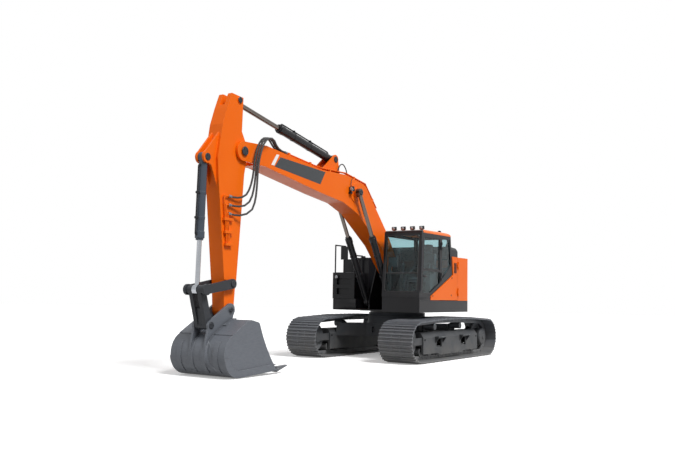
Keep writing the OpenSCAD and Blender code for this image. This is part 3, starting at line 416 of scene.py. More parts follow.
def beyond(tree, axis, limit):
    """A mask that is 1 where an object coordinate is over the limit."""
    parts = tree.nodes.new("ShaderNodeSeparateXYZ")
    tree.links.new(object_place(tree), parts.inputs[0])
    return maths(tree, "GREATER_THAN", parts.outputs[axis], limit)


def dusted(tree, paint, height, amount):
    """A colour socket with the ground's dust on it up to that height."""
    settled = add_group(tree, DUST, height=height, amount=amount)
    tree.links.new(paint, settled.inputs["Color"])
    return settled.outputs["Color"]


def enamel(name, tone, shade, rough, worn, coat=0.0, split=None, dust=None, edge=0.006):
    """Sprayed paint: clouded tone, light orange peel, edges that have caught a little wear.

    split is (axis, limit, tone below) for a piece in two colours, dust (height, amount).
    """
    material, tree, shader = new_finish(name)
    skin = add_group(tree, SURFACE, cloud_scale=1.3, grain_scale=220, grain_depth=0.00035, edge_radius=edge)
    paint = blend_colours(tree, skin.outputs["Cloud"], tone, shade)
    if split:
        axis, limit, below = split
        paint = blend_colours(tree, beyond(tree, axis, limit), below, paint)
    paint = blend_colours(tree, maths(tree, "MULTIPLY", skin.outputs["Edge"], 0.55), paint, worn)
    if dust:
        paint = dusted(tree, paint, *dust)
    join(tree, (paint, shader.inputs["Base Color"]),
         (ranged(tree, skin.outputs["Cloud"], rough - 0.06, rough + 0.1), shader.inputs["Roughness"]),
         (skin.outputs["Normal"], shader.inputs["Normal"]))
    set_values(shader, {"Coat Weight": coat, "Specular IOR Level": 0.12, "Coat Roughness": 0.12})
    return material


def bare_steel(name, tone, shade, rough, metallic, worn, stretch=None, dust=None):
    """Steel that has been worked: streaks along one direction, bright edges and painted shade in its hollows.
    """
    material, tree, shader = new_finish(name)
    skin = add_group(tree, SURFACE, cloud_scale=2.2, grain_scale=150, grain_depth=0.0008, edge_radius=0.005)
    place = object_place(tree)
    streaks = noise(tree, place, 14.0, 5.0, stretch or (1, 1, 1))
    steel = blend_colours(tree, streaks, tone, shade)
    # Painted shade: ambient occlusion darkens the colour towards near black in hollows, recesses and gaps
    # between parts.
    painted_cavity_shade = tree.nodes.new("ShaderNodeAmbientOcclusion")
    painted_cavity_shade.samples = 6
    painted_cavity_shade.inputs["Distance"].default_value = 0.07
    steel = blend_colours(tree, ranged(tree, painted_cavity_shade.outputs["AO"], 0.85, 0.0), steel, colour(22, 23, 25))
    steel = blend_colours(tree, skin.outputs["Edge"], steel, worn)
    if dust:
        steel = dusted(tree, steel, *dust)
    join(tree, (steel, shader.inputs["Base Color"]),
         (ranged(tree, streaks, rough - 0.08, rough + 0.14), shader.inputs["Roughness"]),
         (skin.outputs["Normal"], shader.inputs["Normal"]))
    shader.inputs["Metallic"].default_value = metallic
    return material


def chrome(name, tone, shade, dull):
    """Hard chrome or ground steel on a cylinder rod, with fine polishing marks."""
    material, tree, shader = new_finish(name)
    place = object_place(tree)
    marks = noise(tree, place, 60.0, 6.0, (1, 1, 6))
    film = noise(tree, place, 3.0)
    join(tree, (blend_colours(tree, film, tone, shade), shader.inputs["Base Color"]),
         (ranged(tree, marks, dull - 0.06, dull + 0.1), shader.inputs["Roughness"]))
    shader.inputs["Metallic"].default_value = 1.0
    return material


def tinted_glass(name, tone):
    """A cab window: tinted, smooth glass with a faint film of dust."""
    material, tree, shader = new_finish(name)
    place = object_place(tree)
    film = noise(tree, place, 2.5, 5.0)
    join(tree, (ranged(tree, film, 0.0, 0.03), shader.inputs["Roughness"]))
    set_values(shader, {"Base Color": tone, "IOR": 1.22, "Transmission Weight": 1.0})
    return material


def moulded(name, tone, shade, rough, grain=0.0006):
    """Moulded plastic or rubber with a leather-like grain."""
    material, tree, shader = new_finish(name)
    skin = add_group(tree, SURFACE, cloud_scale=4.0, grain_scale=420, grain_depth=grain, edge_radius=0.003)
    join(tree, (blend_colours(tree, skin.outputs["Grain"], tone, shade), shader.inputs["Base Color"]),
         (ranged(tree, skin.outputs["Cloud"], rough - 0.08, rough + 0.08), shader.inputs["Roughness"]),
         (skin.outputs["Normal"], shader.inputs["Normal"]))
    return material


def wrapped_rubber(name):
    """Hydraulic hose: black rubber with the cloth wrap's ribs along its run."""
    material, tree, shader = new_finish(name)
    run = tree.nodes.new("ShaderNodeAttribute")
    run.attribute_name = "along"
    ribs = maths(tree, "SINE", maths(tree, "MULTIPLY", run.outputs["Fac"], 900.0))
    place = object_place(tree)
    scuffs = noise(tree, place, 25.0, 5.0)
    join(tree, (bumped(tree, ribs, 0.0006), shader.inputs["Normal"]),
         (blend_colours(tree, scuffs, colour(24, 24, 26), colour(52, 51, 50)), shader.inputs["Base Color"]),
         (ranged(tree, scuffs, 0.42, 0.66), shader.inputs["Roughness"]))
    return material


def woven(name, tone, shade):
    """Seat cloth: a small over-and-under weave with soft sheen."""
    material, tree, shader = new_finish(name)
    place = object_place(tree)
    threads = []
    for direction in ("X", "Y"):
        wave = tree.nodes.new("ShaderNodeTexWave")
        wave.bands_direction = direction
        set_values(wave, {"Scale": 110, "Distortion": 0.6})
        tree.links.new(place, wave.inputs["Vector"])
        threads.append(wave.outputs["Fac"])
    weave = maths(tree, "MAXIMUM", threads[0], threads[1])
    join(tree, (bumped(tree, weave, 0.001), shader.inputs["Normal"]),
         (blend_colours(tree, weave, shade, tone), shader.inputs["Base Color"]))
    set_values(shader, {"Roughness": 0.85, "Sheen Weight": 0.3})
    return material


def lamp_glass(name, tone, glow):
    """A ribbed lamp lens."""
    material, tree, shader = new_finish(name)
    place = object_place(tree)
    wave = tree.nodes.new("ShaderNodeTexWave")
    wave.inputs["Scale"].default_value = 60
    tree.links.new(place, wave.inputs["Vector"])
    ribs = wave.outputs["Fac"]
    join(tree, (bumped(tree, ribs, 0.002), shader.inputs["Normal"]),
         (ranged(tree, ribs, 0.05, 0.16), shader.inputs["Roughness"]))
    set_values(shader, {"Base Color": tone, "Emission Color": tone, "Emission Strength": glow,
                        "Coat Weight": 1.0})
    return material


ORANGE_TONE = colour(240, 110, 14)
ORANGE_SHADE = colour(233, 99, 10)
ORANGE_WORN = colour(250, 140, 62)
BLACK_TONE = colour(29, 29, 32)
BLACK_SHADE = colour(23, 23, 26)
BLACK_WORN = colour(74, 74, 78)
GREY_TONE = colour(98, 102, 109)
GREY_SHADE = colour(84, 88, 95)
GREY_WORN = colour(146, 150, 156)

ORANGE = enamel("orange_enamel", ORANGE_TONE, ORANGE_SHADE, 0.38, ORANGE_WORN, 0.04)
TAIL = enamel("tail_enamel", ORANGE_TONE, ORANGE_SHADE, 0.38, ORANGE_WORN, 0.04,
              split=("Z", SKIRT_TOP / 1000, BLACK_TONE))
ROOF = enamel("roof_enamel", BLACK_TONE, BLACK_SHADE, 0.34, BLACK_WORN, 0.3,
              split=("X", (1270 + SWING_X) / 1000, ORANGE_TONE))
SIDE_PANEL = enamel("box_enamel", BLACK_TONE, BLACK_SHADE, 0.38, BLACK_WORN, 0.2,
                    split=("Y", 0.0015 - HOUSE_HW / 1000, ORANGE_TONE))
BLACK = enamel("black_enamel", BLACK_TONE, BLACK_SHADE, 0.38, BLACK_WORN, 0.2)
CHARCOAL = enamel("charcoal_enamel", colour(58, 60, 64), colour(50, 52, 56), 0.42, BLACK_WORN, 0.1)
BARREL_BLUE = enamel("barrel_enamel", colour(70, 78, 90), colour(58, 66, 77), 0.34, GREY_WORN, 0.3)
BUCKET_GREY = bare_steel("bucket_enamel", GREY_TONE, GREY_SHADE, 0.5, 0.0, GREY_WORN, (1, 1, 4))
FRAME_GREY = enamel("frame_enamel", colour(64, 68, 74), colour(53, 57, 62), 0.5, GREY_WORN,
                    dust=(1.0, 0.25))
TRACK_STEEL = bare_steel("track_steel", colour(96, 100, 107), colour(74, 78, 84), 0.5, 0.1,
                         colour(168, 171, 176), (1, 0.3, 1), (0.9, 0.3))
TOOTH_STEEL = bare_steel("tooth_steel", colour(104, 107, 112), colour(80, 83, 88), 0.45, 0.15,
                         colour(150, 152, 156), (4, 1, 1))
BOLT_STEEL = bare_steel("bolt_steel", colour(120, 122, 126), colour(88, 90, 95), 0.38, 0.6,
                        colour(170, 172, 176))
CHROME = chrome("rod_chrome", colour(176, 178, 182), colour(150, 154, 160), 0.14)
OILED_ROD = chrome("rod_oiled_steel", colour(112, 104, 98), colour(92, 86, 82), 0.26)
GLASS = tinted_glass("cab_window", colour(196, 220, 223))
RUBBER = moulded("seal_rubber", colour(26, 26, 27), colour(40, 40, 41), 0.6)
HOSE = wrapped_rubber("hose_rubber")
PLASTIC = moulded("console_plastic", colour(44, 45, 48), colour(58, 59, 62), 0.5)
SEAT = woven("seat_cloth", colour(66, 67, 72), colour(38, 38, 42))
CAST = bare_steel("engine_casting", colour(96, 98, 102), colour(74, 76, 80), 0.6, 0.1, colour(140, 140, 144))
LENS = lamp_glass("lamp_lens", colour(158, 164, 170), 0.0)
RED_LENS = lamp_glass("tail_lens", colour(176, 22, 18), 0.05)
WHITE = enamel("stripe_white", colour(240, 240, 238), colour(232, 232, 230), 0.35, colour(246, 246, 246), 0.3)
MARKING = enamel("marking_grey", colour(64, 67, 70), colour(56, 59, 62), 0.35, colour(80, 82, 84), 0.3)
SCREEN = moulded("screen_black", colour(12, 14, 18), colour(18, 20, 24), 0.2, 0.0)

FINISHES = {
    ORANGE: ["left_service_door", "right_service_door", "boom", "arm", "boom_pipes", "arm_pipes"],
    TAIL: ["counterweight"],
    ROOF: ["cab_roof"],
    BLACK: ["side_skirts", "cab_shell", "cab_door", "handrails", "mirror_right", "arm_cylinder_barrel",
            "exhaust_stack", "main_frame", "rear_deck", "engine_hood", "boom_cylinder_left_barrel",
            "boom_cylinder_right_barrel"],
    SIDE_PANEL: ["tank", "tool_box"],
    CHARCOAL: ["bucket_levers", "bucket_link"],
    BARREL_BLUE: ["bucket_cylinder_barrel"],
    BUCKET_GREY: ["bucket"],
    FRAME_GREY: ["car_body", "track_frame_left", "track_frame_right", "travel_motors", "swing_ring"],
    TRACK_STEEL: ["track_left", "track_right", "front_idlers", "drive_sprockets", "track_rollers",
                  "carrier_rollers"],
    TOOTH_STEEL: ["bucket_teeth"],
    CHROME: ["bucket_cylinder_rod"],
    OILED_ROD: ["boom_cylinder_left_rod", "boom_cylinder_right_rod", "arm_cylinder_rod"],
    GLASS: ["cab_glass", "cab_door_glass"],
    PLASTIC: ["cab_controls"],
    CAST: ["engine_block"],
}
for finish, names in FINISHES.items():
    for node_name in names:
        NODES[node_name].data.materials.clear()
        NODES[node_name].data.materials.append(finish)


# Mesh tools
def block(bm, low, high, bevel, segments=2, matrix=None):
    """A box between two corners with rounded edges, in a frame or in the row frame."""
    low = Vector(low)
    high = Vector(high)
    place = Matrix.Translation((low + high) / 2) @ Matrix.Diagonal((*(high - low), 1))
    if matrix is not None:
        place = matrix @ place
    made = bmesh.ops.create_cube(bm, size=1.0, matrix=place)
    edges = list({edge for vert in made["verts"] for edge in vert.link_edges})
    bmesh.ops.bevel(bm, geom=edges, offset=bevel, offset_type="OFFSET", segments=segments, profile=0.5,
                    affect="EDGES", material=-1)


def mm_block(bm, low, high, bevel, segments=2):
    """block() with corners in the machine's frame, in millimetres."""
    block(bm, spot(*low), spot(*high), bevel / 1000, segments)


def turned(bm, profile, centre, axis, steps=28):
    """A turned shape: profile gives radius and height along the axis, in millimetres."""
    axis = Vector(axis).normalized()
    side = axis.orthogonal().normalized()
    verts = [bm.verts.new(Vector(centre) + side * radius / 1000 + axis * height / 1000)
             for radius, height in profile]
    edges = [bm.edges.new(pair) for pair in zip(verts, verts[1:])]
    bmesh.ops.spin(bm, geom=verts + edges, cent=centre, axis=axis, dvec=(0, 0, 0), angle=math.tau,
                   steps=steps, use_merge=True, use_duplicate=False)


def disc(radius, thick, inset=8, drop=6):
    """The profile of a flat cap with a chamfered rim, for turned()."""
    return [(0, thick), (radius - inset, thick), (radius, thick - drop), (radius, 0), (0, 0)]


def bolt(bm, place, axis, radius, height):
    """A hexagon bolt head that stands on a face."""
    turn = Vector((0, 0, 1)).rotation_difference(Vector(axis)).to_matrix().to_4x4()
    middle = Matrix.Translation(Vector(place) + Vector(axis).normalized() * height / 2000)
    bmesh.ops.create_cone(bm, cap_ends=True, segments=6, radius1=radius / 1000, radius2=0.9 * radius / 1000,
                          depth=height / 1000, matrix=middle @ turn)


def ring_of_bolts(bm, centre, axis, ring, count, radius, height):
    """Bolts evenly round a centre; ring is the radius of their circle."""
    axis = Vector(axis).normalized()
    side = axis.orthogonal().normalized()
    for k in range(count):
        arm = Matrix.Rotation(k * math.tau / count, 3, axis) @ side
        bolt(bm, Vector(centre) + arm * ring / 1000, axis, radius, height)


def rounded_path(points, radius, steps=5):
    """A polyline whose inner corners are rounded, in metres."""
    points = [Vector(p) for p in points]
    path = [points[0]]
    for before, corner, after in zip(points, points[1:], points[2:]):
        back = (before - corner).normalized()
        ahead = (after - corner).normalized()
        reach = min(radius / 1000, (before - corner).length * 0.48, (after - corner).length * 0.48)
        start = corner + back * reach
        end = corner + ahead * reach
        for k in range(steps + 1):
            t = k / steps
            path.append(start * (1 - t) ** 2 + corner * 2 * t * (1 - t) + end * t * t)
    path.append(points[-1])
    return path


def tube(bm, path, radius, sides=12):
    """A round tube along a path, with closed ends and its run kept in the attribute along."""
    layer = bm.verts.layers.float.get("along") or bm.verts.layers.float.new("along")
    path = [Vector(p) for p in path]
    last = len(path) - 1
    heading = [(path[min(i + 1, last)] - path[max(i - 1, 0)]).normalized() for i in range(last + 1)]
    side = heading[0].orthogonal().normalized()
    frames = []
    for i, direction in enumerate(heading):
        side = (side - direction * side.dot(direction)).normalized()
        frames.append(basis(path[i], side, direction.cross(side)))
    made = bmesh.ops.create_circle(bm, cap_ends=True, radius=radius / 1000, segments=sides, matrix=frames[0])
    face = made["verts"][0].link_faces[0]
    run = 0.0
    for i in range(1, last + 1):
        grown = bmesh.ops.extrude_face_region(bm, geom=[face])["geom"]
        verts = [g for g in grown if isinstance(g, bmesh.types.BMVert)]
        face = next(g for g in grown if isinstance(g, bmesh.types.BMFace))
        bmesh.ops.transform(bm, matrix=frames[i] @ frames[i - 1].inverted(), verts=verts)
        run += (path[i] - path[i - 1]).length
        for vert in verts:
            vert[layer] = run


def to_object(name, bm, finish, angle=35):
    """An object from a mesh, with edges sharper than that angle kept crisp."""
    bmesh.ops.remove_doubles(bm, verts=bm.verts, dist=2e-5)
    bmesh.ops.recalc_face_normals(bm, faces=bm.faces)
    mesh = bpy.data.meshes.new(name)
    bm.to_mesh(mesh)
    bm.free()
    mesh.polygons.foreach_set("use_smooth", [True] * len(mesh.polygons))
    mesh.set_sharp_from_angle(angle=math.radians(angle))
    mesh.materials.append(finish)
    piece = bpy.data.objects.new(name, mesh)
    bpy.context.scene.collection.objects.link(piece)
    return piece


def to_piece(name, bm, finish, body, angle=35):
    """Finishes a mesh as a piece that rides on a body."""
    piece = to_object(name, bm, finish, angle)
    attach(piece, body)
    return piece


# Hoses from the boom's pipes to the arm's side: points from the tip pin, as in the part's source
HOSE_R = 18
HOSE_ROUTES = [
    [(-1245, 80, 180), (-1130, 80, 190), (-1010, 90, 215), (-900, 120, 260), (-800, 155, 300),
     (-700, 190, 330), (-600, 215, 340), (-505, 230, 320), (-425, 245, 275), (-355, 255, 205),
     (-300, 260, 120), (-255, 265, 20), (-220, 270, -90), (-200, 275, -210), (-185, 275, -330),
     (-165, 275, -450), (-140, 265, -570), (-100, 255, -680), (-40, 245, -770), (50, 225, -825),
     (145, 205, -845), (230, 190, -845), (310, 185, -840)],
    [(-1245, 125, 180), (-1125, 125, 190), (-1005, 140, 220), (-895, 170, 265), (-790, 210, 310),
     (-680, 245, 335), (-570, 265, 330), (-470, 285, 290), (-385, 295, 220), (-320, 305, 130),
     (-270, 315, 30), (-235, 320, -80), (-210, 320, -200), (-195, 320, -320), (-185, 320, -440),
     (-170, 320, -560), (-150, 315, -680), (-120, 310, -790), (-70, 295, -895), (15, 260, -970),
     (120, 220, -995), (220, 195, -995), (310, 185, -990)],
    [(-1245, 170, 180), (-1120, 170, 190), (-1000, 185, 220), (-890, 215, 265), (-780, 260, 315),
     (-660, 295, 335), (-545, 320, 315), (-445, 335, 260), (-360, 345, 170), (-300, 355, 65),
     (-255, 360, -45), (-220, 365, -165), (-200, 365, -290), (-190, 365, -415), (-185, 365, -540),
     (-175, 365, -665), (-160, 365, -790), (-135, 360, -910), (-90, 345, -1030), (-5, 295, -1115),
     (100, 230, -1150), (205, 190, -1150), (310, 185, -1140)],
]


def make_hoses():
    for number, route in enumerate(HOSE_ROUTES, 1):
        path = [spot(TIP[0] + x, y, TIP[1] + z) for x, y, z in route]
        bm = bmesh.new()
        tube(bm, path, HOSE_R, 14)
        hose = to_object(f"arm_hose_{number}", bm, HOSE, 60)
        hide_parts("arm_hoses")
        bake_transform(hose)


make_hoses()


# Track: bolts on the shoes and the ends of the chain pins
SHOE_FACE = 53
SHOE_BOLTS_ALONG = 36
SHOE_BOLTS_ASIDE = 95
CHAIN_PIN_FACE = 115


def belt_path():
    """The chain's pins round sprocket, idler and carrier rollers, as x and z."""
    carrier_z = 2 * PITCH_R + SHOE_TIP + TOP_RISE - CARRIER_R - RAIL_IN
    wheels = [(-TUMBLER / 2, AXLE_Z, PITCH_R), (TUMBLER / 2, AXLE_Z, PITCH_R),
              (CARRIER_X[0], carrier_z, CARRIER_R + RAIL_IN), (CARRIER_X[1], carrier_z, CARRIER_R + RAIL_IN)]
    turns = []
    for here, there in zip(wheels, wheels[1:] + wheels[:1]):
        dx, dz = there[0] - here[0], there[1] - here[1]
        span = math.hypot(dx, dz)
        out = math.atan2(dz, dx) - math.acos((here[2] - there[2]) / span)
        while turns and out < turns[-1][0]:
            out += math.tau
        turns.append((out, math.sqrt(span ** 2 - (here[2] - there[2]) ** 2)))
    stretches = []
    for i, (out, line) in enumerate(turns):
        following = turns[(i + 1) % 4][0] + (math.tau if i == 3 else 0)
        stretches.append((out, line, wheels[i], wheels[(i + 1) % 4], following - out))
    total = sum(line + there[2] * sweep for out, line, here, there, sweep in stretches)
    points = []
    for k in range(SHOE_COUNT):
        run = (k + 0.5) * total / SHOE_COUNT
        for out, line, here, there, sweep in stretches:
            if run <= line:
                points.append((here[0] + here[2] * math.cos(out) - run * math.sin(out),
                               here[1] + here[2] * math.sin(out) + run * math.cos(out)))
                break
            run -= line
            if run <= there[2] * sweep:
                angle = out + run / there[2]
                points.append((there[0] + there[2] * math.cos(angle), there[1] + there[2] * math.sin(angle)))
                break
            run -= there[2] * sweep
    return points


def make_track_fittings():
    pins = belt_path()
    for side, sign in (("left", 1), ("right", -1)):
        middle = sign * GAUGE / 2
        bolts = bmesh.new()
        ends = bmesh.new()
        for (x0, z0), (x1, z1) in zip(pins, pins[1:] + pins[:1]):
            along = Vector((x1 - x0, 0, z1 - z0)).normalized()
            out = Vector((along.z, 0, -along.x))
            mid_x, mid_z = (x0 + x1) / 2, (z0 + z1) / 2
            for t in (-SHOE_BOLTS_ALONG, SHOE_BOLTS_ALONG):
                shoe_x = mid_x + t * along.x + SHOE_FACE * out.x
                shoe_z = mid_z + t * along.z + SHOE_FACE * out.z
                for y in (-SHOE_BOLTS_ASIDE, SHOE_BOLTS_ASIDE):
                    bolt(bolts, spot(shoe_x, middle + y, shoe_z), out, 15, 13)
            for face in (-1, 1):
                bolt(ends, spot(x0, middle + face * CHAIN_PIN_FACE, z0), (0, face, 0), 21, 9)
        to_piece(f"shoe_bolts_{side}", bolts, BOLT_STEEL, "undercarriage")
        to_piece(f"chain_pin_ends_{side}", ends, BOLT_STEEL, "undercarriage")


make_track_fittings()


# Undercarriage: hub covers and step grips, with faces measured outwards from a track's middle
MOTOR_FACE = 225
SPROCKET_FACE = 32
IDLER_FACE = 191
STEP_EDGES = (236, 320)
STEP_STARTS = (-840, 440)
STEP_TOP = 536
GRIP_COUNT = 9
GRIP_PITCH = 45


def make_hub_fittings():
    covers = bmesh.new()
    grips = bmesh.new()
    for sign in (1, -1):
        y = sign * GAUGE / 2
        outward = (0, sign, 0)
        motor = spot(-TUMBLER / 2, y + sign * MOTOR_FACE, AXLE_Z)
        turned(covers, disc(58, 14), motor, outward)
        ring_of_bolts(covers, motor, outward, 74, 6, 9, 8)
        sprocket = spot(-TUMBLER / 2, y + sign * SPROCKET_FACE, AXLE_Z)
        ring_of_bolts(covers, sprocket, outward, 258, 20, 13, 12)
        idler = spot(TUMBLER / 2, y + sign * IDLER_FACE, AXLE_Z)
        turned(covers, disc(54, 12), idler, outward)
        ring_of_bolts(covers, idler, outward, 82, 6, 10, 9)
        near, far = sorted(y + sign * edge for edge in STEP_EDGES)
        for start in STEP_STARTS:
            for k in range(GRIP_COUNT):
                x = start + k * GRIP_PITCH
                mm_block(grips, (x, near, STEP_TOP), (x + 18, far, STEP_TOP + 6), 2, 1)
    to_piece("hub_covers", covers, FRAME_GREY, "undercarriage")
    to_piece("step_grips", grips, BOLT_STEEL, "undercarriage")


make_hub_fittings()


# Boom: blank marking panel, pin caps, work light and pipes
MARK_PANEL = [(3400, 795), (4850, 385), (4945, 140), (3480, 480)]
MARK_SLASH = [(4895, 405), (4975, 380), (5050, 125), (4965, 150)]
MARK_GAP = 0.2
MARK_THICK = 1.2
# Pin caps by body: x and z of the pin, the face that the cap stands on, its radius and thickness
PIN_CAPS = {
    "boom": [(TIP, BOOM_HW + 20, 82, 14), (flat_boom(*BOOM_ROD_PIN), BOOM_CYL_Y + 46.5, 62, 12),
             (flat_boom(*ARM_CYL_FOOT), 126, 66, 16)],
    "arm": [(flat_arm(*ARM_ROD_PIN), ARM_HW + 14, 56, 12), (flat_arm(*BUCKET_CYL_FOOT), 98, 64, 14),
            (flat_arm(*LEVER_PIN), 232, 62, 12)],
    "bucket": [(BUCKET_PIN, 205, 44, 10),
               ((BUCKET_PIN[0] + LINK_PIN[0], BUCKET_PIN[1] + LINK_PIN[1]), 180, 60, 12)],
}


def boom_decal(bm, outline, y, depth):
    """A thin plate on the boom's side with that outline, along and above the foot-to-tip line."""
    inner = [bm.verts.new(on_boom(s, y, n)) for s, n in outline]
    face = bm.faces.new(inner)
    grown = bmesh.ops.extrude_face_region(bm, geom=[face])["geom"]
    verts = [g for g in grown if isinstance(g, bmesh.types.BMVert)]
    bmesh.ops.translate(bm, vec=(0, depth / 1000, 0), verts=verts)


def make_boom_markings():
    for side, sign in (("left", 1), ("right", -1)):
        panel = bmesh.new()
        boom_decal(panel, MARK_PANEL, sign * (BOOM_HW + MARK_GAP), sign * MARK_THICK)
        to_piece(f"boom_panel_{side}", panel, MARKING, "boom")
        slash = bmesh.new()
        boom_decal(slash, MARK_SLASH, sign * (BOOM_HW + MARK_GAP), sign * MARK_THICK)
        to_piece(f"boom_slash_{side}", slash, WHITE, "boom")


def pin_cap(bm, centre, sign, radius, thick):
    """A pin's flanged head with its locking bolts."""
    axis = (0, sign, 0)
    turned(bm, disc(radius, thick), centre, axis)
    ring_of_bolts(bm, Vector(centre) + Vector(axis) * thick / 1000, axis, radius * 0.6, 3, 11, 9)


def make_pin_caps():
    for body, caps in PIN_CAPS.items():
        bm = bmesh.new()
        for sign in (1, -1):
            for (x, z), face, radius, thick in caps:
                pin_cap(bm, spot(x, sign * face, z), sign, radius, thick)
        to_piece(f"{body}_pin_caps", bm, CHARCOAL, body)


def lamp_body(bm, matrix, width, height, depth):
    """A work light's housing: a rounded shell with cooling ribs, facing its frame's +X."""
    back = -depth / 1000
    half = width / 2000
    block(bm, (back, -half, -height / 2000), (0, half, height / 2000), 0.012, 3, matrix)
    for k in range(5):
        y = (k - 2) * width / 6000
        low = (back - 0.014, y - 0.004, -height / 2600)
        high = (back + 0.002, y + 0.004, height / 2600)
        block(bm, low, high, 0.0015, 1, matrix)


def lamp_lens(bm, matrix, radius):
    """A domed round lens, facing its frame's +X."""
    centre = matrix.translation
    axis = matrix.to_3x3() @ Vector((1, 0, 0))
    profile = [(0, 13), (radius * 0.5, 11), (radius * 0.85, 6), (radius, 0), (0, 0)]
    turned(bm, profile, centre, axis, 24)


def make_boom_light():
    housing = bmesh.new()
    lens = bmesh.new()
    matrix = basis(on_boom(2470, BOOM_HW + 62, 850), (1, 0.1, -0.35), (0, 1, 0))
    lamp_body(housing, matrix, 105, 105, 60)
    lamp_lens(lens, matrix, 44)
    block(housing, on_boom(2440, BOOM_HW, 790) - Vector((0.03, 0, 0.03)),
          on_boom(2440, BOOM_HW + 70, 790) + Vector((0.03, 0, 0.012)), 0.004, 1)
    to_piece("boom_light_housing", housing, BLACK, "boom")
    to_piece("boom_light_lens", lens, LENS, "boom")
    lead = bmesh.new()
    path = [on_boom(2445, BOOM_HW + 50, 905), on_boom(2452, BOOM_HW + 14, 960),
            on_boom(2462, BOOM_HW + 9, 1060), on_boom(2440, BOOM_HW + 8, 1120)]
    tube(lead, rounded_path(path, 50), 7, 8)
    to_piece("boom_light_pipe", lead, RUBBER, "boom")


def make_boom_lines():
    """Steel feed pipes on the boom: to the arm cylinder's foot, and bowed ones over the bend."""
    feeds = bmesh.new()
    for y in (-150, 150):
        path = [on_boom(2560, y, 1085), on_boom(2620, y, 1225), on_boom(2790, y, 1300),
                on_boom(2905, y, 1215), on_boom(2925, y, 1010)]
        tube(feeds, rounded_path(path, 90), 12, 10)
    to_piece("arm_cylinder_feed_pipes", feeds, RUBBER, "boom")
    bows = bmesh.new()
    for y in (-165, -120):
        path = [on_boom(1720, y, 845), on_boom(1800, y, 1030), on_boom(2080, y, 1165),
                on_boom(2330, y, 1170), on_boom(2400, y, 1060)]
        tube(bows, rounded_path(path, 80), 11, 10)
    to_piece("boom_bend_pipes", bows, ORANGE, "boom")


make_boom_markings()
make_pin_caps()
make_boom_light()
make_boom_lines()


# Cylinders: oil pipes along the barrels, and each barrel's share of the length from pin to pin
BOOM_BARREL_SHARE = 0.617
ARM_BARREL_SHARE = 0.5845
BUCKET_BARREL_SHARE = 0.632


def barrel_pipe(name, body, base, head, y, radius, share, side):
    """A steel oil pipe on a barrel from its base port to its head port, held by two bands.

    share is the barrel's part of the length from pin to pin, side is 1 or -1 for the pipe's side.
    """
    base = Vector((base[0], base[1]))
    head = Vector((head[0], head[1]))
    along = (head - base).normalized()
    up = Vector((-along.y, along.x)) * side
    length = share * (head - base).length

    def at(run, lift):
        flat = base + along * run + up * lift
        return spot(flat.x, y, flat.y)

    bm = bmesh.new()
    first, last = 150, length - 95
    path = [at(first, radius - 4), at(first, radius + 34), at(last, radius + 34), at(last, radius + 4)]
    tube(bm, rounded_path(path, 45), 14, 10)
    outward = (up.x, 0, up.y)
    for run in (first, last):
        turned(bm, [(0, 0), (24, 0), (24, 26), (18, 30), (0, 30)], at(run, radius - 6), outward, 12)
    for run in (0.42 * length + 22, 0.72 * length + 22):
        centre = at(run, radius + 24)
        block(bm, (-0.02, -0.026, -0.024), (0.02, 0.026, 0.03), 0.005, 2,
              basis(centre, at(run + 100, radius) - at(run, radius), (0, 1, 0)))
    to_piece(name, bm, BLACK, body)


for side_name, side_y in (("left", BOOM_CYL_Y), ("right", -BOOM_CYL_Y)):
    barrel_pipe(f"boom_cylinder_{side_name}_pipe", f"boom_barrel_{side_name}", BOOM_CYL_FOOT,
                flat_boom(*BOOM_ROD_PIN), side_y, BOOM_CYL_R, BOOM_BARREL_SHARE, -1)
barrel_pipe("arm_cylinder_pipe", "arm_barrel", flat_boom(*ARM_CYL_FOOT), flat_arm(*ARM_ROD_PIN),
            0, ARM_CYL_R, ARM_BARREL_SHARE, 1)
barrel_pipe("bucket_cylinder_pipe", "bucket_barrel", flat_arm(*BUCKET_CYL_FOOT), LEVER_END,
            0, BUCKET_CYL_R, BUCKET_BARREL_SHARE, 1)


# Cab: seals, wiper, handles, lamps, beacon
CAB_SLANT = 105
ROOF_LAMPS = (555, 785, 1015, 1245)


def slant_x(z):
    """Front face of the cab at that height."""
    return CAB_FRONT - (z - CAB_FLOOR) * CAB_SLANT / (CAB_TOP - CAB_FLOOR)


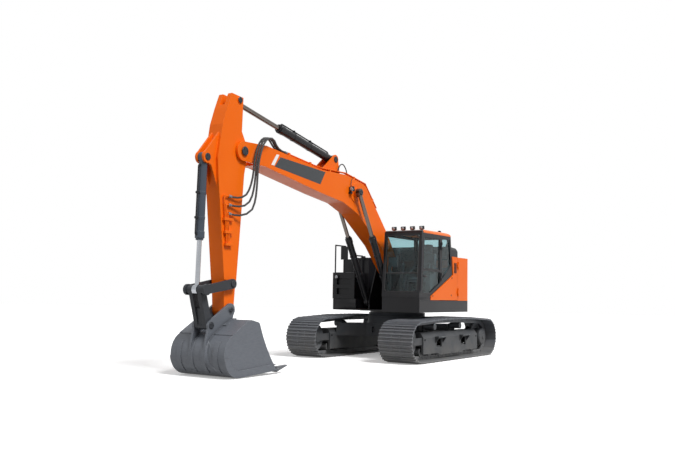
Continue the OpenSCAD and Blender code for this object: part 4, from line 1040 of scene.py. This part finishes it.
def make_cab_trim():
    seals = bmesh.new()
    low_z, high_z = CAB_FLOOR + 118, CAB_TOP - 58
    left_y, right_y = CAB_OUTER - 63, CAB_INNER + 63
    corners = [(right_y, low_z), (left_y, low_z), (left_y, high_z), (right_y, high_z)]
    loop = [spot(slant_x(z) - 6, y, z) for y, z in corners]
    start = (loop[0] + loop[1]) / 2
    tube(seals, rounded_path([start, loop[1], loop[2], loop[3], loop[0], start], 70), 9, 8)
    bar_z = 1905
    bar_x = slant_x(bar_z) - 6
    tube(seals, [spot(bar_x, right_y, bar_z), spot(bar_x, left_y, bar_z)], 14, 8)
    outline = [(CAB_FRONT - 196, 2013), (466, 2013), (466, CAB_TOP - 108), (CAB_FRONT - 244, CAB_TOP - 108)]
    ring = [spot(x, CAB_OUTER - 18, z) for x, z in outline]
    middle = (ring[0] + ring[1]) / 2
    tube(seals, rounded_path([middle, *ring[1:], ring[0], middle], 60), 7, 8)
    to_piece("window_seals", seals, RUBBER, "house")
    wiper = bmesh.new()
    foot_z = 1560
    elbow = spot(slant_x(2050) + 16, 900, 2050)
    tube(wiper, [spot(slant_x(foot_z) + 8, 700, foot_z), elbow], 7, 8)
    tube(wiper, [spot(slant_x(1780) + 14, 960, 1780), spot(slant_x(2330) + 14, 830, 2330)], 6, 8)
    turned(wiper, [(0, 22), (20, 20), (26, 8), (26, 0), (0, 0)], spot(slant_x(foot_z) - 4, 700, foot_z),
           (1, 0, 0.07), 16)
    to_piece("windscreen_wiper", wiper, BLACK, "house")
    rails = bmesh.new()
    grab = [spot(1412, CAB_OUTER - 3, 1520), spot(1414, CAB_OUTER + 12, 1524),
            spot(1352, CAB_OUTER + 12, 2600), spot(1350, CAB_OUTER - 3, 2604)]
    tube(rails, rounded_path(grab, 12), 11, 10)
    to_piece("cab_grab_rail", rails, CHARCOAL, "house")
    handle = bmesh.new()
    pull = [spot(1245, CAB_OUTER - 2, 1845), spot(1245, CAB_OUTER + 13, 1845),
            spot(1130, CAB_OUTER + 13, 1845), spot(1130, CAB_OUTER - 2, 1845)]
    mm_block(handle, (1108, CAB_OUTER - 0.5, 1818), (1266, CAB_OUTER + 4, 1874), 2, 2)
    tube(handle, rounded_path(pull, 12), 6, 8)
    to_piece("cab_door_handle", handle, BLACK, "cab_door")


def make_roof_fittings():
    housing = bmesh.new()
    lens = bmesh.new()
    for y in ROOF_LAMPS:
        matrix = basis(spot(CAB_FRONT - 246, y, CAB_TOP + 112), (1, 0, -0.16), (0, 1, 0))
        lamp_body(housing, matrix, 104, 78, 66)
        lamp_lens(lens, matrix, 33)
        mm_block(housing, (CAB_FRONT - 320, y - 26, CAB_TOP + 69),
                 (CAB_FRONT - 262, y + 26, CAB_TOP + 80), 2, 1)
    matrix = basis(spot(794, -1230, 1835), (1, 0, 0), (0, 1, 0))
    lamp_body(housing, matrix, 100, 88, 40)
    lamp_lens(lens, matrix, 36)
    shown = to_piece("work_light_housings", housing, BLACK, "house")
    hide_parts("work_lights")
    to_piece("work_light_lenses", lens, LENS, "house")
    beacon = bmesh.new()
    profile = [(0, 62), (24, 60), (40, 46), (42, 12), (52, 8), (52, 0), (0, 0)]
    turned(beacon, profile, spot(60, 1130, CAB_TOP + 79), (0, 0, 1))
    tube(beacon, [spot(30, 620, CAB_TOP + 79), spot(22, 620, CAB_TOP + 96)], 14, 10)
    to_piece("roof_beacon_and_aerial", beacon, BLACK, "house")
    hatch = bmesh.new()
    middle = (CAB_INNER + CAB_OUTER) / 2
    mm_block(hatch, (345, middle - 275, CAB_TOP + 60), (845, middle + 275, CAB_TOP + 83), 10, 3)
    for y in (-190, 0, 190):
        mm_block(hatch, (400, middle + y - 30, CAB_TOP + 80), (790, middle + y + 30, CAB_TOP + 88), 4, 2)
    to_piece("roof_hatch", hatch, BLACK, "house")


make_cab_trim()
make_roof_fittings()


# Operator's place
DECK_Z = CAB_FLOOR + CAB_WALL
SEAT_Y = 880


def cushion(bm, low, high, crown, pull):
    """A stuffed block: crowned top and front, sides pulled in between its corners."""
    low = Vector(low)
    high = Vector(high)
    size = high - low
    centre = (low + high) / 2
    place = Matrix.Translation(centre) @ Matrix.Diagonal((*size, 1))
    made = bmesh.ops.create_cube(bm, size=1.0, matrix=place)
    edges = list({edge for vert in made["verts"] for edge in vert.link_edges})
    bmesh.ops.subdivide_edges(bm, edges=edges, cuts=7, use_grid_fill=True)
    for vert in bm.verts:
        share = Vector((2 * (vert.co[i] - centre[i]) / size[i] for i in range(3)))
        if max(abs(s) for s in share) > 1.001:
            continue
        dome = max(0, 1 - share.x ** 2) * max(0, 1 - share.y ** 2)
        if 0.42 < abs(share.y) < 0.58 and share.z > 0.99:
            dome -= 0.45
        waist = 1 - share.z ** 2
        if share.z > 0.99:
            vert.co.z += crown * dome
        if abs(share.x) > 0.99:
            vert.co.x -= math.copysign(pull * (1 - share.y ** 2) * waist, share.x)
        if abs(share.y) > 0.99:
            vert.co.y -= math.copysign(pull * (1 - share.x ** 2) * waist, share.y)


def make_cushion(name, low, high, crown, pull, lean, pivot):
    """A seat cushion, in millimetres, that leans by that many degrees about its pivot."""
    bm = bmesh.new()
    cushion(bm, spot(*low), spot(*high), crown / 1000, pull / 1000)
    bmesh.ops.smooth_vert(bm, verts=bm.verts, factor=0.5, use_axis_x=True, use_axis_y=True, use_axis_z=True)
    turn = Matrix.Rotation(math.radians(lean), 3, "Y")
    bmesh.ops.rotate(bm, cent=spot(*pivot), matrix=turn, verts=bm.verts)
    piece = to_piece(name, bm, SEAT, "house", 80)
    rounds = piece.modifiers.new("rounding", "SUBSURF")
    rounds.levels = 1
    rounds.render_levels = 1


def make_seat():
    base = bmesh.new()
    mm_block(base, (270, 700, DECK_Z + 1), (690, 1060, DECK_Z + 90), 20, 3)
    for k in range(5):
        grow = 12 if k % 2 else 0
        fold_z = DECK_Z + 88 + 36 * k
        mm_block(base, (300 - grow, 730 - grow, fold_z), (660 + grow, 1030 + grow, fold_z + 38), 14, 2)
    mm_block(base, (200, 670, DECK_Z + 266), (700, 1090, DECK_Z + 296), 10, 2)
    seat = to_piece("seat_suspension", base, RUBBER, "house")
    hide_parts("operator_seat")
    make_cushion("seat_cushion", (190, 650, DECK_Z + 297), (715, 1110, DECK_Z + 385), 26, 14,
                 0, (450, SEAT_Y, DECK_Z + 297))
    make_cushion("seat_back", (175, 665, DECK_Z + 395), (285, 1095, DECK_Z + 965), 10, 10,
                 -6, (230, SEAT_Y, DECK_Z + 395))
    make_cushion("seat_headrest", (130, 760, DECK_Z + 980), (215, 1000, DECK_Z + 1165), 10, 8,
                 -4, (170, SEAT_Y, DECK_Z + 980))


def make_controls():
    grips = bmesh.new()
    for y in (555, 1205):
        turned(grips, [(0, 62), (26, 60), (34, 44), (40, 30), (34, 24), (48, 10), (44, 4), (60, 0), (0, 0)],
               spot(740, y, DECK_Z + 480), (0, 0, 1), 20)
    to_piece("lever_boots", grips, RUBBER, "house")
    screen = bmesh.new()
    mm_block(screen, (1218, 482, DECK_Z + 640), (1226, 678, DECK_Z + 815), 3, 2)
    to_piece("monitor_screen", screen, SCREEN, "house")


make_seat()
make_controls()


# House: latches, vents, caps, tail lamps, steps
def vent(bm, low, high, count, sign):
    """Slanted louvre blades on a side panel; low and high are x and z corners."""
    step = (high[1] - low[1]) / count
    y = sign * HOUSE_HW
    for k in range(count):
        z = low[1] + (k + 0.5) * step
        matrix = basis(spot((low[0] + high[0]) / 2, y + sign * 5, z), (1, 0, 0), (0, sign * 0.8, -0.6))
        half = (high[0] - low[0]) / 2000
        block(bm, (-half, -0.012, -0.004), (half, 0.012, 0.004), 0.002, 1, matrix)


def make_house_fittings():
    latches = bmesh.new()
    for x, z in ((830, 1420), (-120, 1440), (-150, 1840)):
        turned(latches, disc(20, 5, 4, 3), spot(x, HOUSE_HW - 0.5, z), (0, 1, 0), 20)
        mm_block(latches, (x - 12, HOUSE_HW + 3, z - 3), (x + 12, HOUSE_HW + 8, z + 3), 1.5, 1)
    to_piece("left_door_latches", latches, BLACK, "left_door")
    louvres = bmesh.new()
    vent(louvres, (-400, 1960), (-260, 2200), 8, 1)
    to_piece("left_door_louvres", louvres, BLACK, "left_door")
    right = bmesh.new()
    vent(right, (-430, 1480), (-140, 2180), 18, -1)
    to_piece("right_door_louvres", right, BLACK, "right_door")
    cap = bmesh.new()
    profile = [(0, 34), (46, 34), (54, 26), (54, 4), (60, 0), (0, 0)]
    turned(cap, profile, spot(100, -900, BODY_TOP - 10.5), (0, 0, 1))
    ring_of_bolts(cap, spot(100, -900, BODY_TOP + 14), (0, 0, 1), 40, 6, 7, 11)
    to_piece("filler_cap", cap, BLACK, "house")
    lamps = bmesh.new()
    for y in (-400, 148):
        mm_block(lamps, (51 - TAIL_R, y, 1567), (61 - TAIL_R, y + 252, 1653), 4, 3)
    to_piece("tail_lamps", lamps, RED_LENS, "house")
    treads = bmesh.new()
    for k in range(9):
        mm_block(treads, (320 + 46 * k, -1335, 1940.2), (338 + 46 * k, -770, 1946), 2, 1)
    to_piece("box_top_treads", treads, BOLT_STEEL, "house")


make_house_fittings()


# Bucket: tooth keepers, with their place from the bucket's pin
TOOTH_MARGIN = 70
TOOTH_HW = 53.5
KEEPER = (-845, -1030)


def make_bucket_fittings():
    pins = bmesh.new()
    for k in range(TOOTH_COUNT):
        y = -BUCKET_W / 2 + TOOTH_MARGIN + k * (BUCKET_W - 2 * TOOTH_MARGIN) / (TOOTH_COUNT - 1)
        for sign in (1, -1):
            place = on_bucket(KEEPER[0], y + sign * TOOTH_HW, KEEPER[1])
            turned(pins, disc(18, 8, 4, 4), place, (0, sign, 0), 14)
    to_piece("tooth_keepers", pins, BOLT_STEEL, "bucket")


make_bucket_fittings()


# House: panels that close the front and the pump bay
def make_front_panels():
    """Dark panels under the front box and under the cab."""
    bm = bmesh.new()
    mm_block(bm, (716, 14 - HOUSE_HW, 1057), (741, -705, SKIRT_TOP - 1), 6, 2)
    mm_block(bm, (600, HOUSE_HW - 55, SKIRT_TOP + 0.5), (CAB_FRONT - 22, HOUSE_HW - 14, CAB_FLOOR - 1), 5, 2)
    to_piece("front_panels", bm, BLACK, "house")


def make_bay_cover():
    """The ribbed lid plate over the pump bay on the right."""
    bm = bmesh.new()
    mm_block(bm, (-464, -1285, BODY_TOP - 34), (-101, -615, BODY_TOP - 6), 6, 2)
    for y in range(-1230, -640, 90):
        mm_block(bm, (-430, y, BODY_TOP - 8), (-135, y + 34, BODY_TOP), 3, 1)
    to_piece("pump_bay_cover", bm, BLACK, "house")


make_front_panels()
make_bay_cover()


# Hose ends: hexagon couplings on the pipes
def coupling(bm, place, axis):
    """A sleeve with two hexagons on a hose's end."""
    axis = Vector(axis).normalized()
    turned(bm, [(0, -34), (21, -34), (23, -30), (23, 26), (21, 30), (0, 30)], place, axis, 18)
    turn = Vector((0, 0, 1)).rotation_difference(axis).to_matrix().to_4x4()
    for shift, radius in ((-0.02, 0.028), (0.018, 0.026)):
        middle = Matrix.Translation(Vector(place) + axis * shift)
        bmesh.ops.create_cone(bm, cap_ends=True, segments=6, radius1=radius, radius2=radius, depth=0.02,
                              matrix=middle @ turn)


def make_couplings():
    for body, first, second in (("boom", 0, 1), ("arm", -1, -2)):
        bm = bmesh.new()
        for route in HOSE_ROUTES:
            ends = [spot(TIP[0] + route[i][0], route[i][1], TIP[1] + route[i][2]) for i in (first, second)]
            coupling(bm, ends[0], ends[1] - ends[0])
        to_piece(f"{body}_hose_couplings", bm, BOLT_STEEL, body)


make_couplings()
